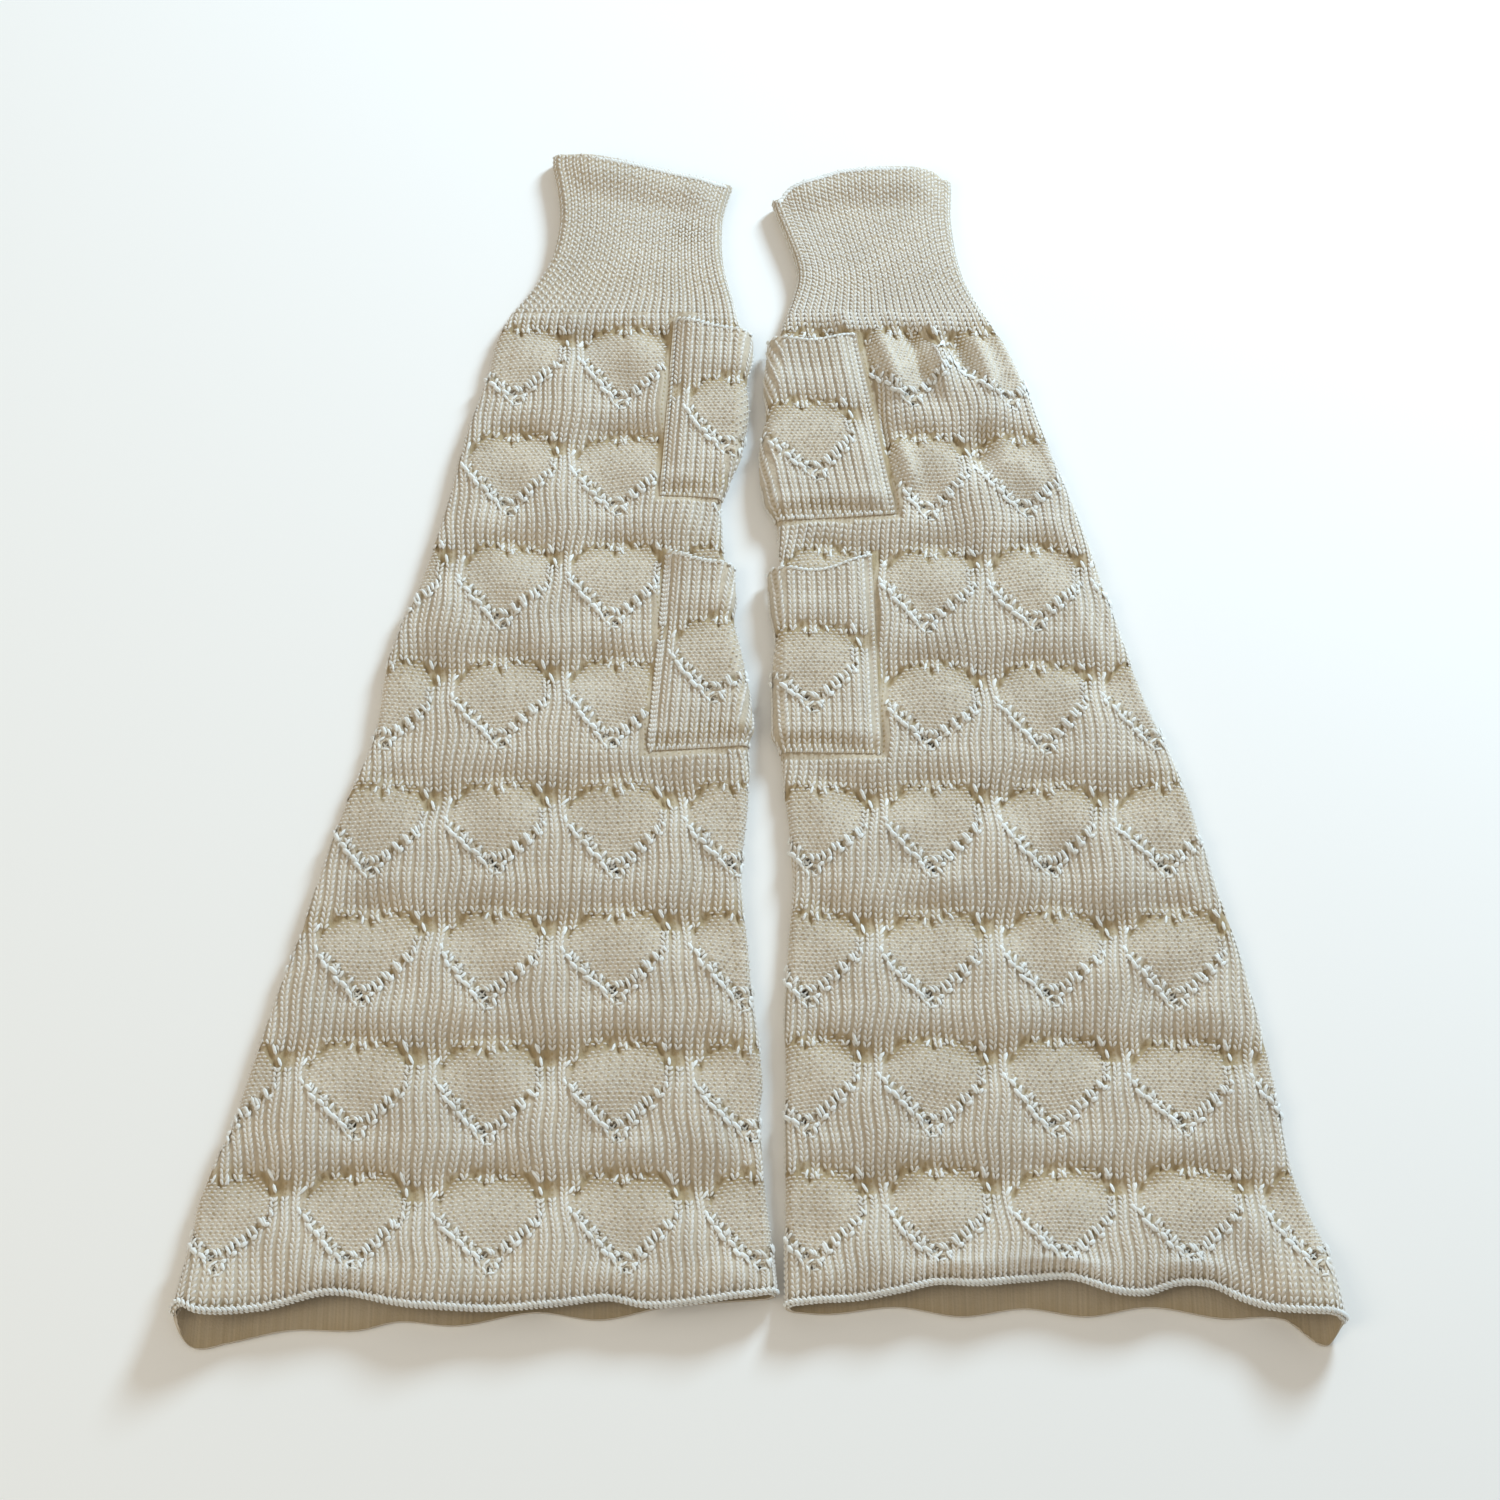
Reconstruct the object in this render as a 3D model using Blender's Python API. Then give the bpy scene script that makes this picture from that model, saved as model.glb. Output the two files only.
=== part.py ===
"""A pair of flared, knitted leg warmers with ribbed cuffs and patch pockets, lying flat.

Each leg is a tube made of a front panel over a back panel, closed by a ribbed cuff, with two
patch pockets sewn along the inner fold. X runs across the pair, Y from the hems to the cuffs,
Z up from the surface that the pair lies on. Sizes are in millimetres until points are stored.
"""

import math

import bmesh
import bpy
from mathutils import Vector

MM = 0.001

WALL = 2.4               # thickness of the knitted cloth
HOLLOW = 3.2             # room between the two layers where they lie on each other
SEAM_GAP = 0.3           # clearance between two sewn pieces
FOLD_RADIUS = (WALL + HOLLOW) / 2
SEAM_HEIGHT = WALL + HOLLOW / 2
ARC_STEPS = 3

RIBS_PER_REPEAT = 11     # one heart and the neck beside it
RIB_RELIEF = 0.5         # crest above and groove below the middle of the wall's outer face
HEART_HALF_WIDTH = 0.36  # in repeats
HEART_SHADE = 0.56       # courses of a row, from tip to tip, run from 0 to 1
RIB_SHELF = 0.74
RIB_FOOT = 0.12
ROW_SWELL = 0.9          # how far the ribs stand above, and the hearts below, the mean height

HEM_COURSE = -0.30       # the hem lies this far below the lowest heart tips
BEAD_COURSE = -0.24
BEAD_HEIGHT = 0.7        # rolled bind-off along the hem
HEM_LIFT = 4.0           # how far the front's hem stands off the back's
HEM_LIFT_REACH = 0.9     # in rows of hearts
HEM_SCALLOP = 1.0        # the hem's waves are higher below each column of hearts
SCALLOP_REACH = 0.42     # the hem's scallops die out this far up, in rows of hearts
INNER_MOUTH = 0.7        # the side folds open up at the hem, the outer one into a loop
OUTER_MOUTH = 4.6
FOLD_BLEND = 14.0        # the top layer settles to its level this far from a side fold
LOOP_BLEND = 16.0        # and so much further beside the loop at the hem
ROW_APART = 0.09         # rows of points lie no nearer than this to a pocket's end
CUFF_START = 226.0       # Y of the join between panel and cuff
GATHER_WIDTH = 4.2       # half width of the soft folds that run down from the cuff
GATHER_END = 1.15        # they fade out between these shares of their length
GATHER_FADE = 0.5
CUFF_RIBS = 23
CUFF_ROWS = 7
CUFF_PLAIN = 6           # steps across a plain face of the cuff
CUFF_RELIEF = 0.4
CUFF_WAVE = 0.8          # soft buckle across the cuff's face at its free edge
CUFF_FLARE = 2.8         # the free edge stands this much higher

EYELET_WIDTH = 5.0       # the hole at the point of each heart
EYELET_LENGTH = 5.8
EYELET_RISE = 1.8        # its centre lies this far above the heart's tip
EYELET_SHIFT = -1.2      # and this far to its right
EYELET_SIDES = 5
EYELET_CLEAR = 9.0       # no hole nearer than this to a fold

POCKET_WALL = 2.2
POCKET_GAP = 0.45
POCKET_SWELL = 0.6       # share of the cloth's soft wave that a pocket takes
PLAIN_STEP = 4           # the inside is plain, with one point for so many ribs
FOLD_KEY = 1000          # keys of a fold's points start past those of every wale

CENTRE_X = 3.554         # middle of the pair in the layout that the tables are drawn in
CENTRE_Y = 24.585

YARN_CREAM = (0.78, 0.70, 0.56, 1.0)
YARN_ROUGHNESS = 0.92

# The rows run from the hem to the cuff: y of the heart tips, then the wale line through the
# tips of the first column and the width of one repeat.
LEFT = {
    "side": -1,
    "tips": [  # y, first, repeat
        (-237.0, -51.5, 55.5), (-180.5, -55.5, 55.0), (-120.5, -57.8, 54.0), (-60.5, -59.0, 52.5),
        (1.0, -61.5, 50.5), (61.0, -62.0, 50.3), (119.5, -62.0, 49.5), (178.0, -60.5, 50.5)],
    "top": (226.0, -60.0, 47.5),
    "edges": [  # y, inner, outer
        (-256.0, 11.0, -234.5), (-226.0, 9.0, -229.3), (-209.0, 7.0, -227.5), (-174.0, 4.0, -215.5),
        (-157.0, 5.6, -211.6), (-121.0, 1.3, -202.0), (-93.0, -0.9, -194.5), (-65.0, -3.8, -187.0),
        (-27.0, -0.6, -177.0), (2.0, -1.0, -167.0), (42.0, -6.0, -162.5), (83.0, -10.4, -149.5),
        (125.0, -13.0, -138.8), (157.0, -5.4, -133.0), (190.0, -2.4, -124.0), (212.0, -2.8, -120.0),
        (226.0, -6.5, -114.0)],
    "front_hem": [  # x, y
        (-234.0, -251.5), (-222.0, -258.0), (-196.0, -254.8), (-168.0, -249.2), (-135.0, -254.6),
        (-106.0, -255.6), (-80.0, -253.8), (-58.0, -251.2), (-42.0, -254.0), (-18.0, -252.2),
        (11.0, -247.8)],
    "back_hem": [  # x, y
        (-236.0, -261.0), (-225.0, -269.4), (-212.0, -267.4), (-187.0, -262.2), (-160.0, -262.2),
        (-143.0, -258.6), (-119.0, -260.2), (-88.0, -254.8), (-61.0, -257.8), (-35.0, -252.6),
        (11.0, -248.8)],
    "cuff": [  # y, inner, outer
        (226.0, -6.5, -114.0), (236.0, -8.4, -107.0), (247.0, -11.2, -100.6), (258.0, -13.0, -95.6),
        (270.0, -13.6, -93.0), (284.0, -12.8, -92.0), (300.0, -8.6, -93.8), (312.0, -4.6, -96.2)],
    "cuff_top": [  # fraction from the inner to the outer edge, y
        (0.0, 300.5), (0.10, 302.4), (0.28, 305.6), (0.5, 310.0), (0.78, 315.2), (1.0, 318.4)],
    "gathers": [  # x at the cuff, x at the lower end, y of the lower end, height
        (-30.0, -36.0, 190.0, 1.2), (-52.0, -56.0, 196.0, 0.9), (-84.0, -88.0, 186.0, 1.2),
        (-104.0, -114.0, 192.0, 0.9)],
    "pockets": {  # top inner, top outer, bottom inner, bottom outer as x, y pairs
        "upper": ((-1.0, 214.5), (-36.0, 222.0), (-13.0, 124.5), (-41.5, 126.0)),
        "lower": ((-10.0, 89.0), (-38.0, 96.5), (-1.5, -1.5), (-45.0, -4.5))},
}
RIGHT = {
    "side": 1,
    "tips": [
        (-235.0, 76.8, 51.5), (-178.0, 75.4, 52.0), (-121.0, 76.2, 52.0), (-60.5, 78.2, 51.2),
        (-0.5, 79.4, 49.6), (58.5, 79.6, 48.6), (118.0, 81.0, 45.5), (177.0, 75.8, 44.5)],
    "top": (226.0, 70.0, 43.0),
    "edges": [
        (-256.0, 14.2, 242.0), (-234.0, 14.3, 237.5), (-209.0, 14.4, 228.5), (-191.0, 14.5, 223.4),
        (-157.0, 14.7, 220.2), (-121.0, 14.9, 214.0), (-93.0, 16.3, 208.2), (-65.0, 18.6, 201.0),
        (-27.0, 15.4, 192.6), (2.0, 13.2, 183.4), (22.0, 13.4, 176.2), (62.0, 12.3, 165.0),
        (104.0, 13.0, 154.0), (135.0, 8.6, 144.6), (168.0, 8.6, 134.6), (190.0, 10.0, 128.2),
        (212.0, 13.4, 119.8), (226.0, 17.4, 111.6)],
    "front_hem": [
        (14.2, -253.4), (44.0, -250.8), (62.0, -248.0), (76.0, -244.8), (94.0, -245.4), (113.0, -243.4),
        (130.0, -242.6), (148.0, -248.0), (161.0, -248.8), (174.0, -245.0), (187.0, -245.6),
        (200.0, -251.4), (217.0, -256.6), (242.0, -259.0)],
    "back_hem": [
        (14.2, -254.2), (32.0, -255.4), (60.0, -252.6), (86.0, -256.4), (112.0, -253.2), (137.0, -256.4),
        (163.0, -252.6), (192.0, -257.2), (217.0, -257.6), (233.0, -268.4), (242.0, -260.0)],
    "cuff": [
        (226.0, 17.4, 111.6), (236.0, 20.4, 106.6), (247.0, 22.6, 102.2), (258.0, 21.2, 99.6),
        (270.0, 17.4, 97.9), (284.0, 12.6, 97.0), (296.0, 9.6, 97.6), (306.0, 8.8, 97.8)],
    "cuff_top": [
        (0.0, 291.6), (0.08, 298.6), (0.24, 303.6), (0.4, 307.6), (0.7, 308.6), (0.93, 307.4), (1.0, 303.2)],
    "gathers": [
        (44.0, 52.0, 184.0, 1.4), (58.0, 66.0, 178.0, 2.0), (72.0, 84.0, 176.0, 2.2),
        (88.0, 100.0, 182.0, 1.6), (100.0, 118.0, 174.0, 1.8)],
    "pockets": {
        "upper": ((13.0, 210.5), (50.0, 213.5), (10.0, 112.5), (67.0, 116.5)),
        "lower": ((12.0, 86.5), (55.5, 94.5), (13.0, -5.0), (58.0, -5.5))},
}
LEGS = {"left": LEFT, "right": RIGHT}


def smooth_table(table, x, column=1):
    """Read a column of a table at x along a smooth curve, level beyond both ends."""
    rows = sorted(table)
    if x <= rows[0][0]:
        return rows[0][column]
    if x >= rows[-1][0]:
        return rows[-1][column]
    i = max(k for k in range(len(rows) - 1) if rows[k][0] <= x)
    a, b = rows[i], rows[i + 1]
    span = b[0] - a[0]
    before, after = rows[max(i - 1, 0)], rows[min(i + 2, len(rows) - 1)]
    slope_a = (b[column] - before[column]) / (b[0] - before[0])
    slope_b = (after[column] - a[column]) / (after[0] - a[0])
    t = (x - a[0]) / span
    return ((2 * t ** 3 - 3 * t ** 2 + 1) * a[column] + (t ** 3 - 2 * t ** 2 + t) * span * slope_a
            + (3 * t ** 2 - 2 * t ** 3) * b[column] + (t ** 3 - t ** 2) * span * slope_b)


def soft_step(t):
    t = min(max(t, 0.0), 1.0)
    return t * t * (3 - 2 * t)


def course_to_y(leg, course):
    """Y of a course: whole numbers are the rows of heart tips, 0 beside the hem."""
    tips = leg["tips"]
    if course <= 0:
        return tips[0][0] + course * (tips[1][0] - tips[0][0])
    i = min(int(course), len(tips) - 1)
    if i == len(tips) - 1:
        return tips[i][0] + (course - i) * (tips[i][0] - tips[i - 1][0])
    return tips[i][0] + (course - i) * (tips[i + 1][0] - tips[i][0])


def y_to_course(leg, y):
    tips = leg["tips"]
    i = max([k for k in range(len(tips) - 1) if tips[k][0] <= y], default=0)
    return i + (y - tips[i][0]) / (tips[i + 1][0] - tips[i][0])


def wale_x(leg, y, wale):
    """X of a wale, counted in repeats from the first column of hearts towards the outside."""
    lines = leg["tips"] + [leg["top"]]
    return smooth_table(lines, y, 1) + leg["side"] * wale * smooth_table(lines, y, 2)


def heart_share(wale, course):
    """1 inside a heart, 0 in the ribs around it."""
    across = abs(wale - round(wale))
    up = course - math.floor(course)
    if up > 0.68:
        return 0.0
    half = min(HEART_HALF_WIDTH, HEART_HALF_WIDTH * (up + 0.02) / 0.26)
    return 1.0 - soft_step((across - half + 0.04) / 0.08)


def row_swell(wale, course):
    """Soft wave of the cloth: a shelf of ribs over each row of hearts, sunk at the hearts' tops."""
    up = course - math.floor(course)
    if up < RIB_FOOT or up > RIB_SHELF:
        level = 1.0
    elif up > HEART_SHADE:
        level = -1.0 + 2.0 * (up - HEART_SHADE) / (RIB_SHELF - HEART_SHADE)
    else:
        level = 1.0 - 2.0 * (up - RIB_FOOT) / (HEART_SHADE - RIB_FOOT)
    across = abs(wale - round(wale))
    sunk = 1.0 - soft_step((across - 0.30) / 0.18)
    return ROW_SWELL * (level if level > 0 else level * (0.35 + 0.65 * sunk))


class Section:
    """One crosswise row through a leg: the folds at both sides and the layer between them."""

    def __init__(self, leg, course, y):
        self.leg, self.course, self.y = leg, course, y
        side = leg["side"]
        hem = soft_step(1.0 - (course - HEM_COURSE) / HEM_LIFT_REACH)
        self.inner = smooth_table(leg["edges"], y, 1)
        self.outer = smooth_table(leg["edges"], y, 2)
        self.side = side
        self.hem = hem
        loop = OUTER_MOUTH * hem ** 2
        self.inner_seam = SEAM_HEIGHT + INNER_MOUTH * hem
        self.outer_seam = SEAM_HEIGHT + 0.8 * loop
        self.inner_rise = FOLD_RADIUS + INNER_MOUTH * hem
        self.outer_rise = FOLD_RADIUS + loop
        self.inner_run = FOLD_RADIUS + INNER_MOUTH * hem
        self.outer_run = FOLD_RADIUS + loop

    def flat_range(self):
        """Distance from the inner edge where the flat stretch starts and ends."""
        width = abs(self.outer - self.inner)
        return WALL / 2 + self.inner_run, width - WALL / 2 - self.outer_run

    def distance(self, x):
        return (x - self.inner) * self.side

    def wale(self, x):
        lines = self.leg["tips"] + [self.leg["top"]]
        first = smooth_table(lines, self.y, 1)
        return (x - first) * self.side / smooth_table(lines, self.y, 2)

    def hem_shift(self, x, back):
        """How far the hem's scallops move the point in Y."""
        table = self.leg["back_hem"] if back else self.leg["front_hem"]
        nominal = course_to_y(self.leg, HEM_COURSE)
        reach = soft_step(1.0 - (self.course - HEM_COURSE) / SCALLOP_REACH)
        return (smooth_table(table, x, 1) - nominal) * reach

    def gather(self, x):
        height = 0.0
        for top_x, low_x, low_y, lift in self.leg["gathers"]:
            along = (CUFF_START - self.y) / (CUFF_START - low_y)
            centre = top_x + (low_x - top_x) * along
            fade = soft_step((GATHER_END - along) / GATHER_FADE)
            height += lift * fade * math.exp(-((x - centre) / GATHER_WIDTH) ** 2)
        return height

    def front_level(self, x, under_pocket):
        """Height of the middle of the front wall over the flat stretch."""
        start, end = self.flat_range()
        d = self.distance(x)
        rest = SEAM_HEIGHT + FOLD_RADIUS + HEM_LIFT * self.hem
        scallop = HEM_SCALLOP * self.hem * math.cos(2 * math.pi * self.wale(x))
        middle = rest + scallop
        if not under_pocket:
            middle += row_swell(self.wale(x), self.course) + self.gather(x)
        from_inner = soft_step((d - start) / FOLD_BLEND)
        from_outer = soft_step((end - d) / (FOLD_BLEND + LOOP_BLEND * self.hem))
        inner_top = self.inner_seam + self.inner_rise
        outer_top = self.outer_seam + self.outer_rise
        level = inner_top + (middle - inner_top) * from_inner
        return outer_top + (level - outer_top) * from_outer

    def fold_point(self, outside, angle, offset, front):
        """Point on the rounded side fold, angle 0 at the seam and 90 where it turns flat."""
        seam = self.outer_seam if outside else self.inner_seam
        rise = self.outer_rise if outside else self.inner_rise
        run = self.outer_run if outside else self.inner_run
        edge = self.outer if outside else self.inner
        inward = -self.side if outside else self.side
        c, s = math.cos(math.radians(angle)), math.sin(math.radians(angle))
        x = edge + inward * (WALL / 2 + run * (1 - c) - offset * c)
        half_gap = SEAM_GAP / 2 * c
        if front:
            return x, seam + (rise + offset) * s + half_gap
        return x, seam - (seam - WALL / 2 + offset) * s - half_gap

    def place(self, x, z, back=False):
        return Vector((x, self.y + self.hem_shift(x, back), z))


def pocket_span(leg, name):
    """Y range and outside edge of a pocket, as functions of x and y."""
    top_in, top_out, low_in, low_out = leg["pockets"][name]

    def line(a, b, x):
        return a[1] + (b[1] - a[1]) * (x - a[0]) / (b[0] - a[0])

    def top(x):
        return line(top_in, top_out, x)

    def bottom(x):
        return line(low_in, low_out, x)

    def side(y):
        t = (y - low_out[1]) / (top_out[1] - low_out[1])
        return low_out[0] + (top_out[0] - low_out[0]) * t

    return top, bottom, side


def under_pocket(leg, x, y, margin=6.0):
    for name in leg["pockets"]:
        top, bottom, side = pocket_span(leg, name)
        inside = (side(y) - x) * leg["side"] > -margin
        if inside and bottom(x) - margin < y < top(x) + margin:
            return True
    return False


def pocket_ends(leg, name):
    """Courses of a pocket's lower and upper edges, each at the middle of its slant."""
    top_in, top_out, low_in, low_out = leg["pockets"][name]
    return [y_to_course(leg, (a[1] + b[1]) / 2) for a, b in ((low_in, low_out), (top_in, top_out))]


def panel_courses(leg):
    """Courses that get a row of points: three for each row of hearts, and the pockets' ends."""
    ends = [course for name in leg["pockets"] for course in pocket_ends(leg, name)]
    rows = []
    for row in range(len(leg["tips"])):
        for course in (row + RIB_FOOT, row + HEART_SHADE, row + RIB_SHELF):
            if min(abs(course - end) for end in ends) > ROW_APART:
                rows.append(course)
    last = y_to_course(leg, CUFF_START - SEAM_GAP)
    return [HEM_COURSE, BEAD_COURSE] + sorted(rows + ends) + [last]


def front_row(leg, section, lift, ribs, limit=None):
    """Points of one row of a front layer with their keys, from the inner to the outer seam.

    The keys are counted in half ribs, with a groove through each heart's tip, so that two rows
    are joined along their wales. A limit, the x of a pocket's side, ends the row there.
    """
    points = []
    start, end = section.flat_range()
    if limit is not None:
        end = section.distance(limit)
    half_rib = 1.0 / (2 * RIBS_PER_REPEAT)
    first_key = section.wale(section.inner + section.side * start) / half_rib
    for step in range(ARC_STEPS + 1):
        x, z = section.fold_point(False, 90.0 * step / ARC_STEPS, lift, True)
        key = step - ARC_STEPS - FOLD_KEY
        points.append((key, section.place(x, z)))
    last_key = section.wale(section.inner + section.side * end) / half_rib
    for key in range(math.ceil(first_key + 0.5), math.floor(last_key - 0.5) + 1):
        wale = key * half_rib
        x = wale_x(leg, section.y, wale)
        covered = limit is None and under_pocket(leg, x, section.y)
        heart = heart_share(wale, section.course)
        ribbed = ribs and not covered
        if ribbed:
            wanted = heart < 0.9 or key % 2 == 1
        else:
            wanted = key % (2 * PLAIN_STEP) == 0
        if not wanted:
            continue
        relief = RIB_RELIEF * (1 - heart) * (1 if key % 2 else -1) if ribbed else 0.0
        z = section.front_level(x, covered or limit is not None) + lift + relief
        if limit is not None and ribs:
            z += POCKET_SWELL * row_swell(wale, section.course)
        if section.course == BEAD_COURSE and ribs and limit is None:
            z += BEAD_HEIGHT
        points.append((float(key), section.place(x, z)))
    if limit is None:
        for step in range(ARC_STEPS, -1, -1):
            x, z = section.fold_point(True, 90.0 * step / ARC_STEPS, lift, True)
            key = ARC_STEPS - step + FOLD_KEY
            points.append((key, section.place(x, z)))
    else:
        z = section.front_level(limit, True) + lift
        points.append((float(FOLD_KEY), section.place(limit, z)))
    return points


def back_row(leg, section, offset):
    """Points of one row of a back layer, plain on both faces."""
    points = []
    start, end = section.flat_range()
    half_rib = 1.0 / (2 * RIBS_PER_REPEAT)
    first_key = section.wale(section.inner + section.side * start) / half_rib
    last_key = section.wale(section.inner + section.side * end) / half_rib
    for step in range(ARC_STEPS + 1):
        x, z = section.fold_point(False, 90.0 * step / ARC_STEPS, offset, False)
        key = step - ARC_STEPS - FOLD_KEY
        points.append((key, section.place(x, z, True)))
    for key in range(math.ceil(first_key + 0.5), math.floor(last_key - 0.5) + 1):
        if key % (PLAIN_STEP * 2) == 0:
            x = wale_x(leg, section.y, key * half_rib)
            points.append((float(key), section.place(x, WALL / 2 - offset, True)))
    for step in range(ARC_STEPS, -1, -1):
        x, z = section.fold_point(True, 90.0 * step / ARC_STEPS, offset, False)
        key = ARC_STEPS - step + FOLD_KEY
        points.append((key, section.place(x, z, True)))
    return points


def zip_rows(mesh, row_a, row_b, flip):
    """Join two rows of keyed vertices with triangles, stepping along whichever is behind."""
    i = j = 0
    while i < len(row_a) - 1 or j < len(row_b) - 1:
        step_a = j == len(row_b) - 1 or (
            i < len(row_a) - 1 and row_a[i + 1][0] <= row_b[j + 1][0])
        if step_a:
            corners = (row_a[i][1], row_a[i + 1][1], row_b[j][1])
            i += 1
        else:
            corners = (row_a[i][1], row_b[j + 1][1], row_b[j][1])
            j += 1
        mesh.faces.new(corners[::-1] if flip else corners)


def wall_from_rows(name, outer_rows, inner_rows, flip):
    """A closed wall between two sheets of keyed rows, joined round its four edges."""
    mesh = bmesh.new()

    def add(rows):
        return [[(key, mesh.verts.new(point)) for key, point in row] for row in rows]

    outer, inner = add(outer_rows), add(inner_rows)
    for a, b in zip(outer, outer[1:]):
        zip_rows(mesh, a, b, flip)
    for a, b in zip(inner, inner[1:]):
        zip_rows(mesh, a, b, not flip)
    zip_rows(mesh, outer[0], inner[0], not flip)
    zip_rows(mesh, outer[-1], inner[-1], flip)
    for end, turn in ((0, flip), (-1, not flip)):
        outer_edge = [(row[end][1].co.y, row[end][1]) for row in outer]
        inner_edge = [(row[end][1].co.y, row[end][1]) for row in inner]
        zip_rows(mesh, outer_edge, inner_edge, turn)
    bmesh.ops.triangulate(mesh, faces=mesh.faces)
    return finish_object(name, mesh)


def finish_object(name, mesh):
    """Store a bmesh, drawn in millimetres about the pair's layout, as an object in metres."""
    for vert in mesh.verts:
        vert.co = Vector((vert.co.x - CENTRE_X, vert.co.y - CENTRE_Y, vert.co.z)) * MM
    bmesh.ops.recalc_face_normals(mesh, faces=mesh.faces)
    data = bpy.data.meshes.new(name)
    mesh.to_mesh(data)
    mesh.free()
    obj = bpy.data.objects.new(name, data)
    bpy.context.scene.collection.objects.link(obj)
    return obj


def yarn_material(name):
    material = bpy.data.materials.new(name)
    material.use_nodes = True
    shader = material.node_tree.nodes["Principled BSDF"]
    shader.inputs["Base Color"].default_value = YARN_CREAM
    shader.inputs["Roughness"].default_value = YARN_ROUGHNESS
    shader.inputs["Metallic"].default_value = 0.0
    return material


def eyelet_places(leg):
    """Middle of the hole at the point of each whole heart, clear of folds, hem and pockets."""
    places = []
    for row, (tip_y, _, _) in enumerate(leg["tips"]):
        section = Section(leg, row, tip_y)
        for column in range(-1, 5):
            x = wale_x(leg, tip_y, column)
            from_inner = section.distance(x)
            from_outer = abs(section.outer - section.inner) - from_inner
            if min(from_inner, from_outer) > EYELET_CLEAR:
                places.append((x + EYELET_SHIFT, tip_y + EYELET_RISE))
    return places


def cut_eyelets(obj, places, sides):
    """Cut the holes at the hearts' points straight through a wall."""
    mesh = bmesh.new()
    for x, y in places:
        ring = []
        for corner in range(sides):
            angle = 2 * math.pi * corner / sides + math.pi / 2
            ring.append(((x + EYELET_WIDTH / 2 * math.cos(angle) - CENTRE_X) * MM,
                         (y + EYELET_LENGTH / 2 * math.sin(angle) - CENTRE_Y) * MM))
        low = [mesh.verts.new((px, py, -5 * MM)) for px, py in ring]
        high = [mesh.verts.new((px, py, 30 * MM)) for px, py in ring]
        mesh.faces.new(low[::-1])
        mesh.faces.new(high)
        for i in range(sides):
            j = (i + 1) % sides
            mesh.faces.new((low[i], low[j], high[j], high[i]))
    bmesh.ops.recalc_face_normals(mesh, faces=mesh.faces)
    data = bpy.data.meshes.new(obj.name + "_eyelet_cutter")
    mesh.to_mesh(data)
    mesh.free()
    cutter = bpy.data.objects.new(data.name, data)
    bpy.context.scene.collection.objects.link(cutter)
    cutter.hide_render = True
    cutter.display_type = "WIRE"
    cut = obj.modifiers.new("Eyelets", "BOOLEAN")
    cut.operation = "DIFFERENCE"
    cut.solver = "EXACT"
    cut.object = cutter


def build_front(side_name, leg):
    sections = [Section(leg, course, course_to_y(leg, course)) for course in panel_courses(leg)]
    outer = [front_row(leg, s, WALL / 2, True) for s in sections]
    inner_sections = sections[:2] + sections[2:-1:2] + sections[-1:]
    inner = [front_row(leg, s, -WALL / 2, False) for s in inner_sections]
    obj = wall_from_rows(side_name + "_front_panel", outer, inner, leg["side"] < 0)
    open_places = [(x, y) for x, y in eyelet_places(leg) if not under_pocket(leg, x, y, 6.0)]
    cut_eyelets(obj, open_places, EYELET_SIDES)
    return obj


def build_back(side_name, leg):
    courses = panel_courses(leg)
    courses = courses[:2] + courses[2:-1:2] + courses[-1:]
    sections = [Section(leg, course, course_to_y(leg, course)) for course in courses]
    under = [back_row(leg, s, WALL / 2) for s in sections]
    upper = [back_row(leg, s, -WALL / 2) for s in sections]
    obj = wall_from_rows(side_name + "_back_panel", under, upper, leg["side"] > 0)
    cut_eyelets(obj, eyelet_places(leg), EYELET_SIDES - 1)
    return obj


def build_pocket(side_name, leg, name, front_sections):
    """A patch laid on the front panel, its points taken from the panel's and moved out."""
    top, bottom, side = pocket_span(leg, name)

    def rows(lift, ribs, sections):
        made = []
        for section in sections:
            made.append(front_row(leg, section, lift, ribs, side(section.y)))
        return made

    inner_lift = WALL / 2 + POCKET_GAP + RIB_RELIEF
    outer_lift = inner_lift + POCKET_WALL
    low, high = pocket_ends(leg, name)
    sections = [section for section in front_sections if low <= section.course <= high]

    def tilt(made):
        """Bring the first and last rows onto the pocket's slanting edges."""
        for row, line in ((made[0], bottom), (made[-1], top)):
            for _, point in row:
                point.y = line(point.x)
        return made

    outer = tilt(rows(outer_lift, True, sections))
    inner = tilt(rows(inner_lift, False, sections))
    return wall_from_rows(side_name + "_" + name + "_pocket", outer, inner, leg["side"] < 0)


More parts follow.
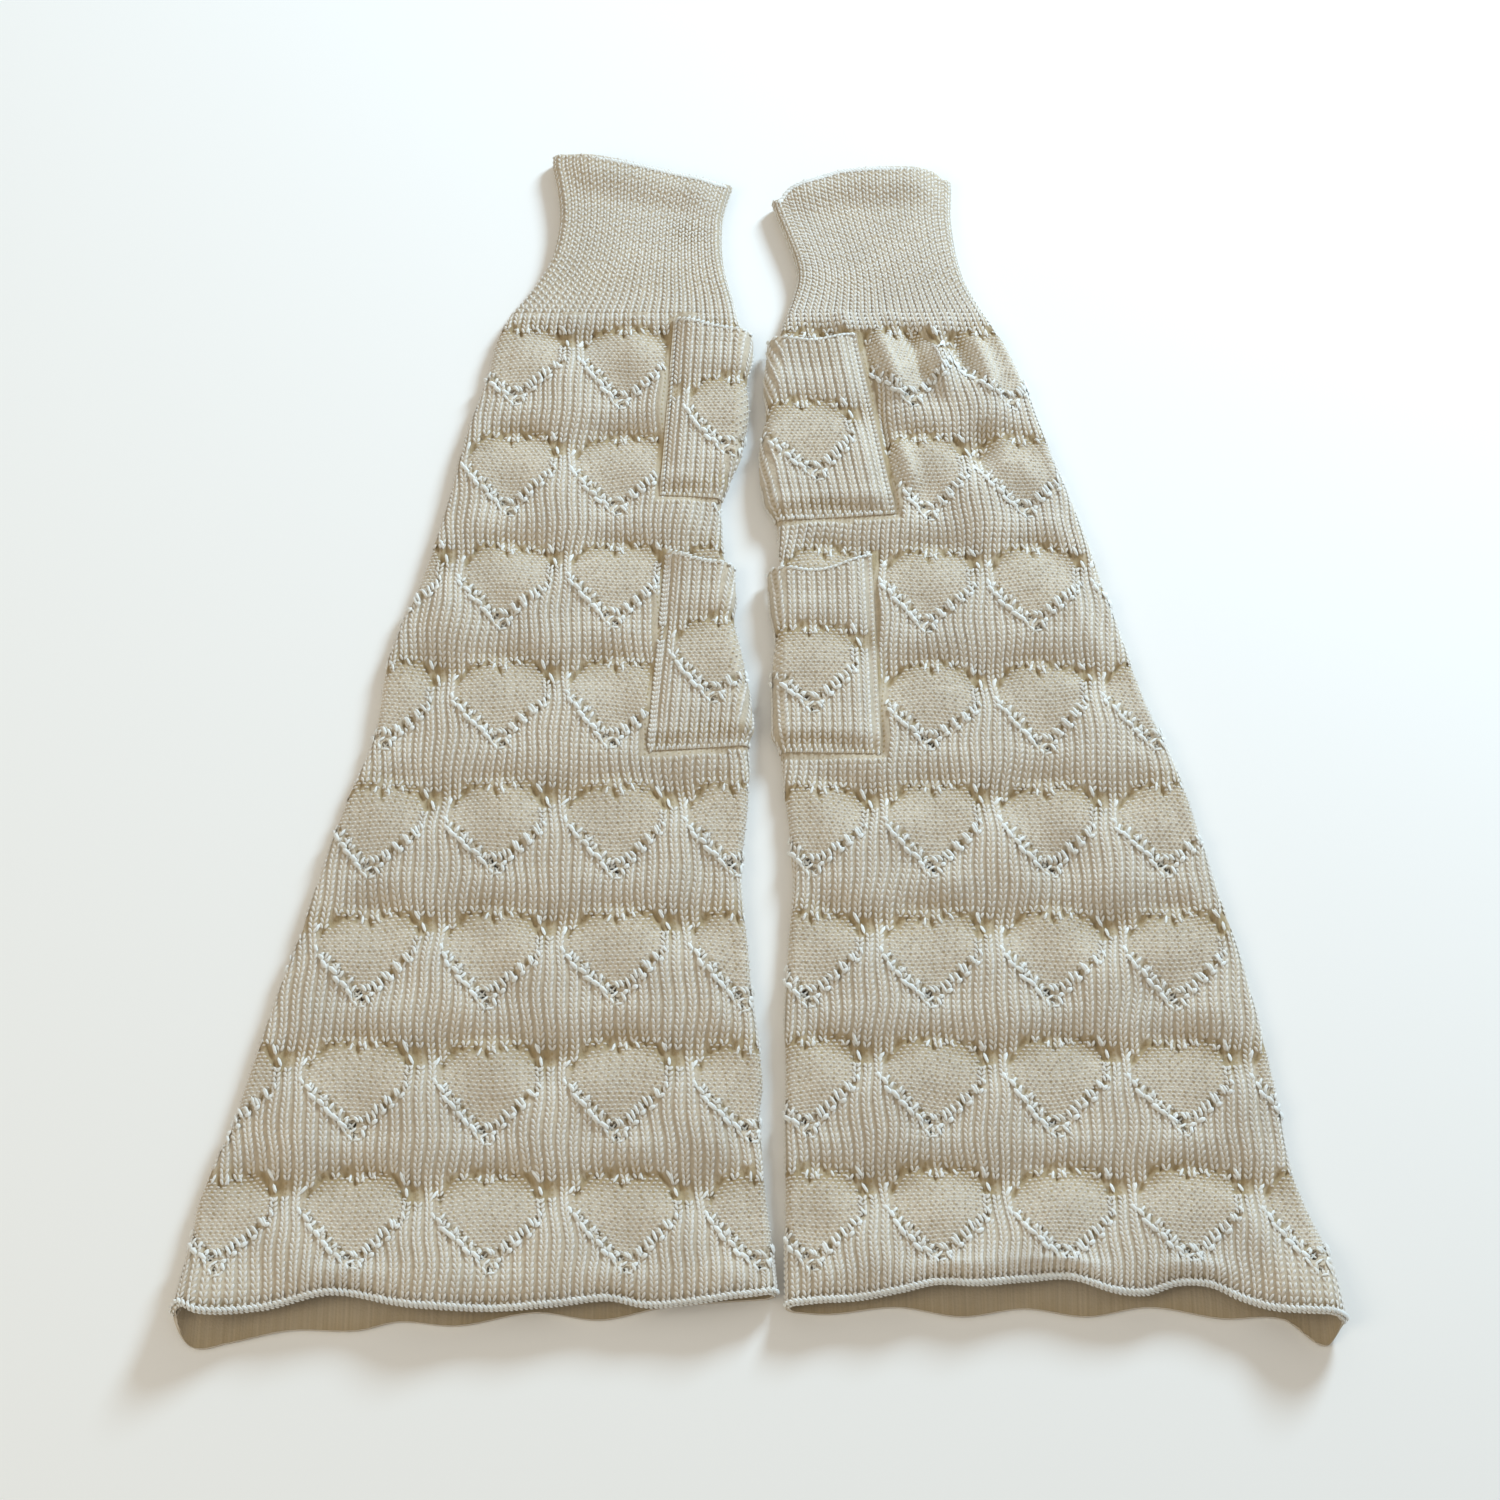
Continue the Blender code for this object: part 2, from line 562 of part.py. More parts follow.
def cuff_ring(leg, level, offset, ribs):
    """Keyed points of one ring round the flattened cuff: over its face, round the fold, under."""
    side = leg["side"]
    inset = WALL / 2 + FOLD_RADIUS
    reach = FOLD_RADIUS + offset
    half_round = 2 * ARC_STEPS
    count = 2 * CUFF_RIBS if ribs else CUFF_PLAIN

    def flat_ends(fraction):
        y = CUFF_START + (smooth_table(leg["cuff_top"], fraction, 1) - CUFF_START) * level
        inner, outer = smooth_table(leg["cuff"], y, 1), smooth_table(leg["cuff"], y, 2)
        return inner + side * inset, outer - side * inset, y

    def across(fraction, z):
        start, end, y = flat_ends(fraction)
        return Vector((start + (end - start) * fraction, y, z))

    def face(step):
        fraction = step / count
        wave = -CUFF_WAVE * level * math.sin(2 * math.pi * fraction)
        flare = CUFF_FLARE * soft_step((level - 0.8) / 0.2) * soft_step(6 * fraction * (1 - fraction))
        relief = CUFF_RELIEF * (-1) ** step if ribs and 0 < step < count else 0.0
        return across(fraction, SEAM_HEIGHT + reach + wave + flare + relief)

    def fold(fraction, turn):
        start, end, y = flat_ends(fraction)
        centre, outward = (end, side) if fraction > 0.5 else (start, -side)
        c, s = math.cos(turn), math.sin(turn)
        return Vector((centre + outward * reach * c, y, SEAM_HEIGHT + reach * s))

    ring = [(step / count, face(step)) for step in range(count + 1)]
    after = [fold(1.0, math.pi * (0.5 - step / half_round)) for step in range(1, half_round)]
    after += [across(1.0 - step / CUFF_PLAIN, WALL / 2 - offset) for step in range(CUFF_PLAIN + 1)]
    after += [fold(0.0, math.pi * (step / half_round - 0.5)) for step in range(1, half_round)]
    return ring + [(2.0 + step, point) for step, point in enumerate(after)]


def build_cuff(side_name, leg):
    """The ribbed cuff, one closed tube with its underside flat."""
    mesh = bmesh.new()

    def rings(offset, ribs):
        made = []
        for row in range(CUFF_ROWS):
            points = cuff_ring(leg, row / (CUFF_ROWS - 1), offset, ribs)
            ring = [(key, mesh.verts.new(point)) for key, point in points]
            made.append(ring + [(ring[-1][0] + 1.0, ring[0][1])])
        return made

    outer = rings(WALL / 2, True)
    inner = rings(-WALL / 2, False)
    flip = leg["side"] < 0
    for a, b in zip(outer, outer[1:]):
        zip_rows(mesh, a, b, flip)
    for a, b in zip(inner, inner[1:]):
        zip_rows(mesh, a, b, not flip)
    zip_rows(mesh, outer[0], inner[0], not flip)
    zip_rows(mesh, outer[-1], inner[-1], flip)
    return finish_object(side_name + "_cuff", mesh)


def clear_scene():
    for obj in list(bpy.data.objects):
        bpy.data.objects.remove(obj, do_unlink=True)


def main():
    clear_scene()
    for side_name, leg in LEGS.items():
        sections = [Section(leg, course, course_to_y(leg, course)) for course in panel_courses(leg)]
        pieces = [build_front(side_name, leg), build_back(side_name, leg), build_cuff(side_name, leg)]
        pieces += [build_pocket(side_name, leg, name, sections) for name in leg["pockets"]]
        for piece in pieces:
            piece.data.materials.append(yarn_material(piece.name + "_yarn"))


main()
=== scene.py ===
"""A pair of flared, knitted leg warmers lying flat, dressed stitch by stitch.

The layout is drawn in millimetres, as in the part's source, and stored in metres. A place on the
cloth is given by its wale, counted in heart repeats from the first column of hearts towards the
outside of the leg, and by its course, counted in rows of hearts from the hem to the cuff.
"""

import math

import bmesh
import bpy
import numpy as np
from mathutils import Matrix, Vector


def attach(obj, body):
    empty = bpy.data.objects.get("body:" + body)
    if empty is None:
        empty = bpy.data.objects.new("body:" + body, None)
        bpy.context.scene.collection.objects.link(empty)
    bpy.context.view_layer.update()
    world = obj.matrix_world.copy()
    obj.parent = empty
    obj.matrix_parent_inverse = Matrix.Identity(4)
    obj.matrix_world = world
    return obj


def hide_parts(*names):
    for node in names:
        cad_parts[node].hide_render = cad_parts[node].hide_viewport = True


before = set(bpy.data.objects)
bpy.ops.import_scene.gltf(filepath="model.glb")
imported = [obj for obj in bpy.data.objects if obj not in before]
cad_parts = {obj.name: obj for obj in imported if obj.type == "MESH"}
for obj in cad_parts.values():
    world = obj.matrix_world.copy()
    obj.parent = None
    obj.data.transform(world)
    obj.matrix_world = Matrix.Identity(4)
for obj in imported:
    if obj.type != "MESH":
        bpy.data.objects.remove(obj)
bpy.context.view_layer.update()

bl_info = {
    "name": "Knitted leg warmers",
    "version": (1, 0, 0),
    "blender": (4, 0, 0),
    "location": "View3D > Sidebar > Leg warmers",
    "description": "Knits a pair of flared leg warmers with openwork hearts, cuffs and pockets",
    "category": "Object",
}

MM = 0.001
CENTRE = (3.554, 24.585, 0.0)   # middle of the pair in the layout

# Counts of the knitting.
RIBS = 11                 # in one repeat
COURSES = 24              # knitted courses in one row of hearts
PURL_ROWS = 34            # rows of purl bumps in the same height
HEM_LOOPS = 2.5 * RIBS    # in one repeat
CUFF_COURSES = 36
CUFF_LOOPS = 120          # all round its edge

# Finish of the meshes: grid steps for each rib and each row of hearts, or whole counts.
FRONT_GRID, FRONT_INNER_GRID, BACK_GRID = (6, 36), (3, 22), (4, 10)
POCKET_PER_RIB, POCKET_ROWS = 5, (64, 34)
CUFF_COLUMNS, CUFF_ROWS = 300, (44, 18)
MERGE = 1e-6
TINY = 1e-9
STEP, CUFF_STEP = 0.004, 0.01    # to measure a direction along the cloth
SEAM_CLEAR = 0.2          # stitches end this far before a side seam

# Form of the cloth, as in the part's source.
HOLLOW = 3.2
HEM_COURSE = -0.30
HEM_LIFT = 4.0
HEM_LIFT_REACH = 0.9
HEM_SCALLOP = 1.0
SCALLOP_REACH = 0.42
INNER_MOUTH = 0.7
OUTER_MOUTH = 4.6
MOUTH_RISE = 0.8          # share of the outer mouth by which its seam rises
SEAM_WALES = (0.16, 0.30)    # wales past the inner and the outer seam, cut off later
FOLD_BLEND = 14.0
LOOP_BLEND = 16.0
CUFF_START = 226.0
CUFF_BLEND = 16.0
GATHER_WIDTH = 4.2
GATHER_END = 1.15
GATHER_FADE = 0.5
CUFF_WAVE = 0.8
CUFF_FLARE = 2.8
CUFF_FLARE_START = 0.72   # share of its height
CUFF_FLARE_REACH = 0.2
POCKET_GAP = 0.6
POCKET_WALL = 1.9
POCKET_SEWN = 2.0         # a pocket's sewn edges lie this much lower than its middle
POCKET_RISE = 11.0        # it rises over this distance from its sewn edges
POCKET_GAPE = 1.3         # its top stands open this much
POCKET_SWELL = 0.6        # its billows, as a share of the leg's
POCKET_ROLL = (1.1, 9.0, 4.5)    # the roll above its bottom: height, distance, half width
POCKET_REPEAT = 50.0
POCKET_ROW = 57.0

# Slow waves, as the waves function reads them: heights over the cloth's x and y, then shifts of
# the wales and courses over the course and wale.
BROAD_WAVES = [(0.5, 0.043, 0.017, 1.0, 0.0), (0.4, -0.029, 0.061, 0.0, 0.0)]
FINE_WAVES = [(0.55, 0.142, 0.051, 0.0, 1.0), (0.5, -0.121, 0.108, 1.0, 1.3)]
BEND_WAVES = [(1.6, 0.02, 0.031, 0.0, 0.0)]
WALE_WAVES = [(0.7, 4.473, 1.953, 0.0, 0.0), (0.45, 12.159, -3.591, 1.3, 0.0)]
COURSE_WAVES = [(0.9, 1.701, 3.339, 1.0, 0.0), (0.5, -2.583, 8.631, 0.0, 0.0)]

# Relief and painted shade of the cloth. Heights are in millimetres, and the painted shades run from
# 0 for plain yarn to 1 for the deepest grooves, darkening the colour where shade falls.
GROOVE_SINK, BACK_RELIEF, INNER_RELIEF = 0.75, 0.25, 0.3    # shares
NECK_DEPTH, PIT_DEPTH, PIT_REACH = 0.8, 1.5, 1.25
HEM_GROOVE = (0.9, 0.05, 0.022)     # depth, courses above the hem, half height
RIB_GROUND, VALLEY_SHADE, NECK_SHADE = 0.20, 0.46, 0.85
HEART_TOP_SHADE, HEART_RIM_SHADE, HEART_LIGHT = 0.22, 0.34, 0.20
CREASE_SHADE, CREASE_FULL = 0.22, 1.6
POCKET_SHADE, POCKET_SHADE_REACH = 0.3, 7.0
MOUTH_SHADE, MOUTH_SHADE_REACH = 0.6, 0.35

LEFT = {
    "side": -1,
    "seed": 3,
    "flat_width": 0.245,
    "front_area": 0.0840,
    "back_area": 0.0850,
    "cuff_round": 0.200,
    "cuff_first_row": -1,    # the panel's last row of stitches ends further below this cuff
    # a dent in the cuff, darkened with painted shade
    "cuff_dent": 1.0,
    "tips": [  # y, first, repeat
        (-237.0, -51.5, 55.5), (-180.5, -55.5, 55.0), (-120.5, -57.8, 54.0), (-60.5, -59.0, 52.5),
        (1.0, -61.5, 50.5), (61.0, -62.0, 50.3), (119.5, -62.0, 49.5), (178.0, -60.5, 50.5)],
    "top": (226.0, -60.0, 47.5),
    "edges": [  # y, inner, outer
        (-256.0, 11.0, -234.5), (-226.0, 9.0, -229.3), (-209.0, 7.0, -227.5), (-174.0, 4.0, -215.5),
        (-157.0, 5.6, -211.6), (-121.0, 1.3, -202.0), (-93.0, -0.9, -194.5), (-65.0, -3.8, -187.0),
        (-27.0, -0.6, -177.0), (2.0, -1.0, -167.0), (42.0, -6.0, -162.5), (83.0, -10.4, -149.5),
        (125.0, -13.0, -138.8), (157.0, -5.4, -133.0), (190.0, -2.4, -124.0), (212.0, -2.8, -120.0),
        (226.0, -6.5, -114.0)],
    "front_hem": [  # x, y
        (-234.0, -251.5), (-222.0, -258.0), (-196.0, -254.8), (-168.0, -249.2), (-135.0, -254.6),
        (-106.0, -255.6), (-80.0, -253.8), (-58.0, -251.2), (-42.0, -254.0), (-18.0, -252.2),
        (11.0, -247.8)],
    "back_hem": [  # x, y
        (-236.0, -261.0), (-225.0, -269.4), (-212.0, -267.4), (-187.0, -262.2), (-160.0, -262.2),
        (-143.0, -258.6), (-119.0, -260.2), (-88.0, -254.8), (-61.0, -257.8), (-35.0, -252.6),
        (11.0, -248.8)],
    "cuff": [  # y, inner, outer
        (226.0, -6.5, -114.0), (236.0, -8.4, -107.0), (247.0, -11.2, -100.6), (258.0, -13.0, -95.6),
        (270.0, -13.6, -93.0), (284.0, -12.8, -92.0), (300.0, -8.6, -93.8), (312.0, -4.6, -96.2)],
    "cuff_top": [  # fraction from the inner to the outer edge, y
        (0.0, 300.5), (0.10, 302.4), (0.28, 305.6), (0.5, 310.0), (0.78, 315.2), (1.0, 318.4)],
    "gathers": [  # x at the cuff, x at the lower end, y of the lower end, height
        (-30.0, -36.0, 190.0, 1.2), (-52.0, -56.0, 196.0, 0.9), (-84.0, -88.0, 186.0, 1.2),
        (-104.0, -114.0, 192.0, 0.9)],
    "creases": [  # x and y of both ends, half width, height
        (-6.0, -62.0, -48.0, -20.0, 9.0, 1.4), (-20.0, -90.0, -8.0, -150.0, 7.0, 1.1),
        (-150.0, 60.0, -128.0, 96.0, 6.0, 1.0), (-212.0, -150.0, -190.0, -110.0, 7.0, 1.1),
        (-30.0, -30.0, -12.0, -76.0, 6.0, -1.2), (-170.0, -36.0, -142.0, -14.0, 8.0, 0.9)],
    "pockets": {  # top inner, top outer, bottom inner, bottom outer as x, y pairs
        "upper": ((-1.0, 214.5), (-36.0, 222.0), (-13.0, 124.5), (-41.5, 126.0)),
        "lower": ((-10.0, 89.0), (-38.0, 96.5), (-1.5, -1.5), (-45.0, -4.5))},
    "pocket_tips": {"upper": (-11.1, 150.6), "lower": (-16.9, 22.8)},
    "pocket_sag": {"upper": 1.2, "lower": 1.8},
    "pocket_flat": {"upper": (0.043, 0.098), "lower": (0.046, 0.100)},
}
RIGHT = {
    "side": 1,
    "seed": 4,
    "flat_width": 0.236,
    "front_area": 0.0800,
    "back_area": 0.0810,
    "cuff_round": 0.190,
    "cuff_first_row": 0,
    "cuff_dent": 0.0,
    "tips": [
        (-235.0, 76.8, 51.5), (-178.0, 75.4, 52.0), (-121.0, 76.2, 52.0), (-60.5, 78.2, 51.2),
        (-0.5, 79.4, 49.6), (58.5, 79.6, 48.6), (118.0, 81.0, 45.5), (177.0, 75.8, 44.5)],
    "top": (226.0, 65.0, 39.5),
    "edges": [
        (-256.0, 14.2, 242.0), (-234.0, 14.3, 237.5), (-209.0, 14.4, 228.5), (-191.0, 14.5, 223.4),
        (-157.0, 14.7, 220.2), (-121.0, 14.9, 214.0), (-93.0, 16.3, 208.2), (-65.0, 18.6, 201.0),
        (-27.0, 15.4, 192.6), (2.0, 13.2, 183.4), (22.0, 13.4, 176.2), (62.0, 12.3, 165.0),
        (104.0, 13.0, 154.0), (135.0, 8.6, 144.6), (168.0, 8.6, 134.6), (190.0, 10.0, 128.2),
        (212.0, 13.4, 119.8), (226.0, 17.4, 111.6)],
    "front_hem": [
        (14.2, -253.4), (44.0, -250.8), (62.0, -248.0), (76.0, -244.8), (94.0, -245.4),
        (113.0, -243.4), (130.0, -242.6), (148.0, -248.0), (161.0, -248.8), (174.0, -245.0),
        (187.0, -245.6), (200.0, -251.4), (217.0, -256.6), (242.0, -259.0)],
    "back_hem": [
        (14.2, -254.2), (32.0, -255.4), (60.0, -252.6), (86.0, -256.4), (112.0, -253.2),
        (137.0, -256.4), (163.0, -252.6), (192.0, -257.2), (217.0, -257.6), (233.0, -268.4),
        (242.0, -260.0)],
    "cuff": [
        (226.0, 17.4, 111.6), (236.0, 20.4, 106.6), (247.0, 22.6, 102.2), (258.0, 21.2, 99.6),
        (270.0, 17.4, 97.9), (284.0, 12.6, 97.0), (296.0, 9.6, 97.6), (306.0, 8.8, 97.8)],
    "cuff_top": [
        (0.0, 291.6), (0.08, 298.6), (0.24, 303.6), (0.4, 307.6), (0.7, 308.6), (0.93, 307.4),
        (1.0, 303.2)],
    "gathers": [(44.0, 52.0, 184.0, 1.4), (66.0, 74.0, 200.0, 0.9), (92.0, 98.0, 204.0, 0.8)],
    "creases": [
        (152.0, 62.0, 182.0, 8.0, 6.0, 1.6), (164.0, 40.0, 140.0, 24.0, 6.0, 1.3),
        (196.0, -206.0, 222.0, -246.0, 7.0, 1.8), (60.0, 196.0, 62.0, 120.0, 5.0, -1.6),
        (206.0, -120.0, 196.0, -60.0, 6.0, 1.0), (130.0, 60.0, 156.0, 84.0, 7.0, 1.0),
        (60.0, 217.0, 70.5, 181.0, 4.6, 3.8), (75.5, 215.0, 82.0, 187.0, 3.8, -3.4),
        (87.0, 217.0, 92.5, 181.0, 4.0, 3.4), (96.5, 213.0, 103.0, 190.0, 4.0, -3.2),
        (107.0, 215.0, 115.0, 183.0, 4.4, 3.2), (55.0, 203.0, 63.0, 140.0, 3.0, -2.2),
        (68.5, 158.0, 75.0, 132.0, 4.2, 3.4), (108.5, 163.0, 107.0, 142.0, 4.5, -2.4),
        (118.0, 160.0, 116.5, 138.0, 4.5, 1.8)],
    "pockets": {
        "upper": ((13.0, 210.5), (50.0, 213.5), (10.0, 112.5), (67.0, 116.5)),
        "lower": ((12.0, 86.5), (55.5, 94.5), (13.0, -5.0), (58.0, -5.5))},
    "pocket_tips": {"upper": (29.9, 137.2), "lower": (27.0, 17.8)},
    "pocket_sag": {"upper": 3.2, "lower": 4.6},
    "pocket_flat": {"upper": (0.060, 0.101), "lower": (0.054, 0.100)},
}
LEGS = {"left": LEFT, "right": RIGHT}

# Openwork of one heart, in millimetres from its tip: x, y, half length, half width, turn from
# the x axis in degrees. The holes are cut through, the slits are the narrow gaps beside them.
HOLES = [(-1.6, 2.3, 2.1, 1.65, 50), (1.5, -2.0, 1.85, 1.5, 60)]
SLITS = [
    (-4.6, 5.8, 1.7, 0.62, 58), (-7.6, 8.8, 1.8, 0.62, 58), (-10.6, 11.9, 1.8, 0.62, 58),
    (-13.5, 15.1, 1.8, 0.62, 60), (-16.2, 18.4, 1.6, 0.6, 62),
    (5.0, 4.4, 2.0, 0.7, 118), (9.0, 8.0, 2.2, 0.75, 118), (13.0, 11.6, 2.2, 0.75, 118),
    (16.8, 15.2, 2.1, 0.7, 118), (20.4, 18.9, 1.6, 0.6, 116),
    (-13.2, 36.4, 3.3, 1.1, 56), (-17.2, 30.4, 2.9, 1.0, 66), (17.6, 37.2, 3.4, 1.1, 118),
    (20.6, 31.0, 2.9, 1.0, 106), (-3.8, 38.8, 2.4, 0.8, 66), (0.6, 35.6, 3.0, 0.9, 98),
    (6.2, 39.2, 2.4, 0.8, 114), (11.8, 39.0, 1.9, 0.7, 118), (-8.6, 38.6, 1.8, 0.7, 66)]
BAR_ROW = 58.0            # height of a row in these numbers
BAR_SUNK = 0.35           # the strands are pressed this far into the cloth
# Strands that lie over the openwork: the same numbers and a height above the cloth.
RING = [
    (-4.4, 0.6, 1.9, 0.61, 116, 0.8), (0.9, 4.3, 2, 0.67, 126, 0.9), (0, 0.1, 1.9, 0.51, 42, 0.6),
    (-1.3, -3.2, 1.8, 0.61, 118, 0.7), (4.1, -1.2, 2.3, 0.73, 112, 0.9),
    (1.8, -4.4, 1.7, 0.55, 10, 0.7), (-3.4, 4.9, 1.2, 0.51, 40, 0.7),
    (-1.7, 2.3, 2.2, 0.51, 138, -1), (1.4, -2, 2, 0.46, 146, -1),
    (-1.0, 2.8, 2.0, 0.42, 52, -1.1), (-2.3, 1.7, 1.9, 0.4, 52, -1.2),
    (1.8, -1.7, 1.7, 0.4, 60, -1.2)]
BARS = RING + [
    (-5.4, 2.4, 2.5, 0.98, 134, 0.9), (-8.3, 5.2, 2.5, 1.03, 135, 1),
    (-11.2, 8.2, 2.5, 1.03, 134, 1), (-14, 11.4, 2.5, 1.03, 130, 1),
    (-16.6, 14.8, 2.5, 0.98, 126, 0.9), (-18.8, 18.4, 2.4, 0.92, 120, 0.8),
    (-20.4, 22.2, 2.2, 0.8, 112, 0.6), (-3.4, 4, 1.4, 0.55, 58, 0.8),
    (-6.2, 7.2, 1.8, 0.61, 58, 0.9), (-9.1, 10.3, 1.8, 0.61, 58, 0.9),
    (-12.1, 13.5, 1.8, 0.61, 58, 0.9), (-14.9, 16.8, 1.8, 0.61, 60, 0.9),
    (-17.6, 20.2, 1.6, 0.55, 62, 0.8), (2.9, 4.2, 2, 0.61, 120, 0.9),
    (6.2, 5.9, 2.6, 0.67, 118, 1), (7.8, 6.6, 2.6, 0.67, 118, 1), (10.2, 9.4, 2.7, 0.67, 118, 1),
    (11.8, 10.2, 2.6, 0.67, 118, 1), (14.2, 13, 2.7, 0.67, 118, 1),
    (15.7, 13.8, 2.5, 0.61, 118, 1), (18, 16.6, 2.5, 0.67, 116, 0.9),
    (19.4, 17.6, 2.3, 0.61, 116, 0.9), (21.6, 20.4, 1.9, 0.61, 112, 0.8),
    (5, 0.9, 1.5, 0.92, 52, 0.9), (8.9, 4, 1.6, 0.98, 50, 1), (12.8, 7.6, 1.6, 0.98, 48, 1),
    (16.7, 11.2, 1.6, 0.92, 48, 1), (20.4, 15.4, 1.5, 0.8, 52, 0.8),
    (-19.4, 32, 2.6, 0.73, 64, 0.5), (20.2, 38.2, 2.8, 0.73, 118, 0.5),
    (23, 32, 2.6, 0.67, 106, 0.5), (-1.6, 37.8, 2.2, 0.55, 76, 0.3),
    (3.4, 37.4, 2.4, 0.55, 104, 0.3), (8.8, 38.8, 2, 0.55, 114, 0.3)]
HEART_LEAN = 0.035        # the hearts' middle lies this far to the right of their tips
# Outline of a heart, in shares of its repeat and its row.
HEART_HALF, HEART_SLOPE, HEART_NOTCH = 0.378, 1.12, 0.635
LOBE_RISE, LOBE_REACH = 0.055, 0.4
SHOULDER, SHOULDER_START, SHOULDER_REACH = 0.11, 0.50, 0.17
HEART_EDGE = (0.03, 0.05)
NECK_PLACE, NECK_SIZE = (0.45, 0.56), (0.08, 0.12)
ROW_START = 0.12          # a row of hearts begins this far below its tips
GAP_SPREAD, GAP_SHIFT = 0.14, 0.5    # how much the gaps differ in size and in place
SNAP = (0.62, 1.5)        # grid points between these radii are moved to a hole's edge
# Height of the billowing cloth over one row, as a share of the swell: up the middle of a heart
# and up the ribs between two hearts.
HEART_LINE = [
    (-0.1, 0.35), (0.0, 0.10), (0.12, 0.05), (0.35, 0.50), (0.52, 0.15), (0.65, -0.55),
    (0.72, -0.85), (0.81, -0.05), (0.90, 0.35), (1.0, 0.10), (1.12, 0.05)]
RIB_LINE = [
    (-0.1, 0.75), (0.0, 0.92), (0.15, 1.00), (0.30, 0.70), (0.45, -0.15), (0.58, -1.00),
    (0.67, -0.60), (0.78, 0.25), (0.90, 0.75), (1.0, 0.92), (1.15, 1.0)]


def metres(name, text, default):
    return bpy.props.FloatProperty(name=name, description=text, default=default, min=0.0,
                                   unit="LENGTH", precision=5)


def colour(name, text, default):
    return bpy.props.FloatVectorProperty(name=name, description=text, default=default, size=3,
                                         subtype="COLOR", min=0.0, max=1.0)


def factor(name, text, default):
    return bpy.props.FloatProperty(name=name, description=text, default=default, min=0.0, max=1.0,
                                   subtype="FACTOR")


def power(name, text, default):
    return bpy.props.FloatProperty(name=name, description=text, default=default, min=0.0,
                                   unit="POWER")


class KnitSizes(bpy.types.PropertyGroup):
    wall: metres("Cloth thickness", "Thickness of the knitted cloth", 0.0024)
    rib_depth: metres("Rib depth", "From the bottom of a groove to the plain crest", 0.00065)
    # The groove and heart shades are painted shade, mixed into the colour through the painted shade
    # layer.
    rib_shade: factor("Groove shade", "How much darker the grooves between the ribs are", 0.34)
    heart_shade: factor("Heart shade", "How dark the ground of the hearts is", 0.52)
    row_swell: metres("Row swell", "How far the ribs billow over each row of hearts", 0.0026)
    heart_recess: metres("Heart recess", "How far the hearts lie below the ribs", 0.0003)
    strand: metres("Strand", "Half width of one leg of a knit stitch", 0.00056)
    stitch_reach: metres("Stitch reach", "Half length of one leg of a knit stitch", 0.00152)
    purl_width: metres("Purl width", "Half width of one purl bump", 0.00098)
    purl_height: metres("Purl height", "How far a purl bump stands above the ground", 0.00095)


class YarnColours(bpy.types.PropertyGroup):
    light: colour("Yarn", "Colour of the raised yarn", (0.80, 0.775, 0.725))
    # The openwork strands and bound-off edges take a lighter, bluer copy of the yarn's colour: a
    # painted highlight.
    bright: colour("Openwork yarn", "Colour of the strands round the gaps", (0.92, 0.95, 0.94))
    # The ground is darker and warmer than the raised yarn, partly painted shade between the
    # stitches.
    ground: colour("Ground", "Colour of the plain ground between the stitches", (0.72, 0.65, 0.545))
    # The groove colour is painted shade: the plain yarn darkened as it is in shadow.
    groove_shade_colour: colour("Grooves", "Colour down in the grooves and gaps", (0.42, 0.32, 0.18))
    rough: factor("Roughness", "Roughness of the yarn", 0.88)
    sheen: factor("Fuzz", "Soft sheen of the yarn's loose fibres", 0.35)


class StageLook(bpy.types.PropertyGroup):
    key_power: power("Window light", "Power of the cool key light", 38.5)
    fill_power: power("Fill light", "Power of the warm fill light", 8.0)
    sky: bpy.props.FloatProperty(name="Room light", description="Strength of the even room light",
                                 default=0.46, min=0.0)
    floor: colour("Floor", "Colour of the plain floor", (0.93, 0.93, 0.92))


def sizes():
    return bpy.context.scene.knit_sizes


def mm(value):
    return value / MM


def soft_step(t):
    t = np.clip(t, 0.0, 1.0)
    return t * t * (3 - 2 * t)


def curve(table, x, column=1):
    """Read a column of a table at x along a smooth curve, level beyond both ends."""
    rows = np.array(sorted(table), float)
    xs, ys = rows[:, 0], rows[:, column]
    slopes = np.empty(len(xs))
    slopes[1:-1] = (ys[2:] - ys[:-2]) / (xs[2:] - xs[:-2])
    slopes[0] = (ys[1] - ys[0]) / (xs[1] - xs[0])
    slopes[-1] = (ys[-1] - ys[-2]) / (xs[-1] - xs[-2])
    k = np.clip(np.searchsorted(xs, x, side="right") - 1, 0, len(xs) - 2)
    span = xs[k + 1] - xs[k]
    t = np.clip((x - xs[k]) / span, 0.0, 1.0)
    return ((2 * t ** 3 - 3 * t ** 2 + 1) * ys[k] + (t ** 3 - 2 * t ** 2 + t) * span * slopes[k]
            + (3 * t ** 2 - 2 * t ** 3) * ys[k + 1] + (t ** 3 - t ** 2) * span * slopes[k + 1])


def course_to_y(leg, course):
    tips = np.array([row[0] for row in leg["tips"]])
    k = np.clip(np.floor(course).astype(int), 0, len(tips) - 2)
    return tips[k] + (course - k) * (tips[k + 1] - tips[k])


def y_to_course(leg, y):
    tips = np.array([row[0] for row in leg["tips"]])
    k = np.clip(np.searchsorted(tips, y, side="right") - 1, 0, len(tips) - 2)
    return k + (y - tips[k]) / (tips[k + 1] - tips[k])


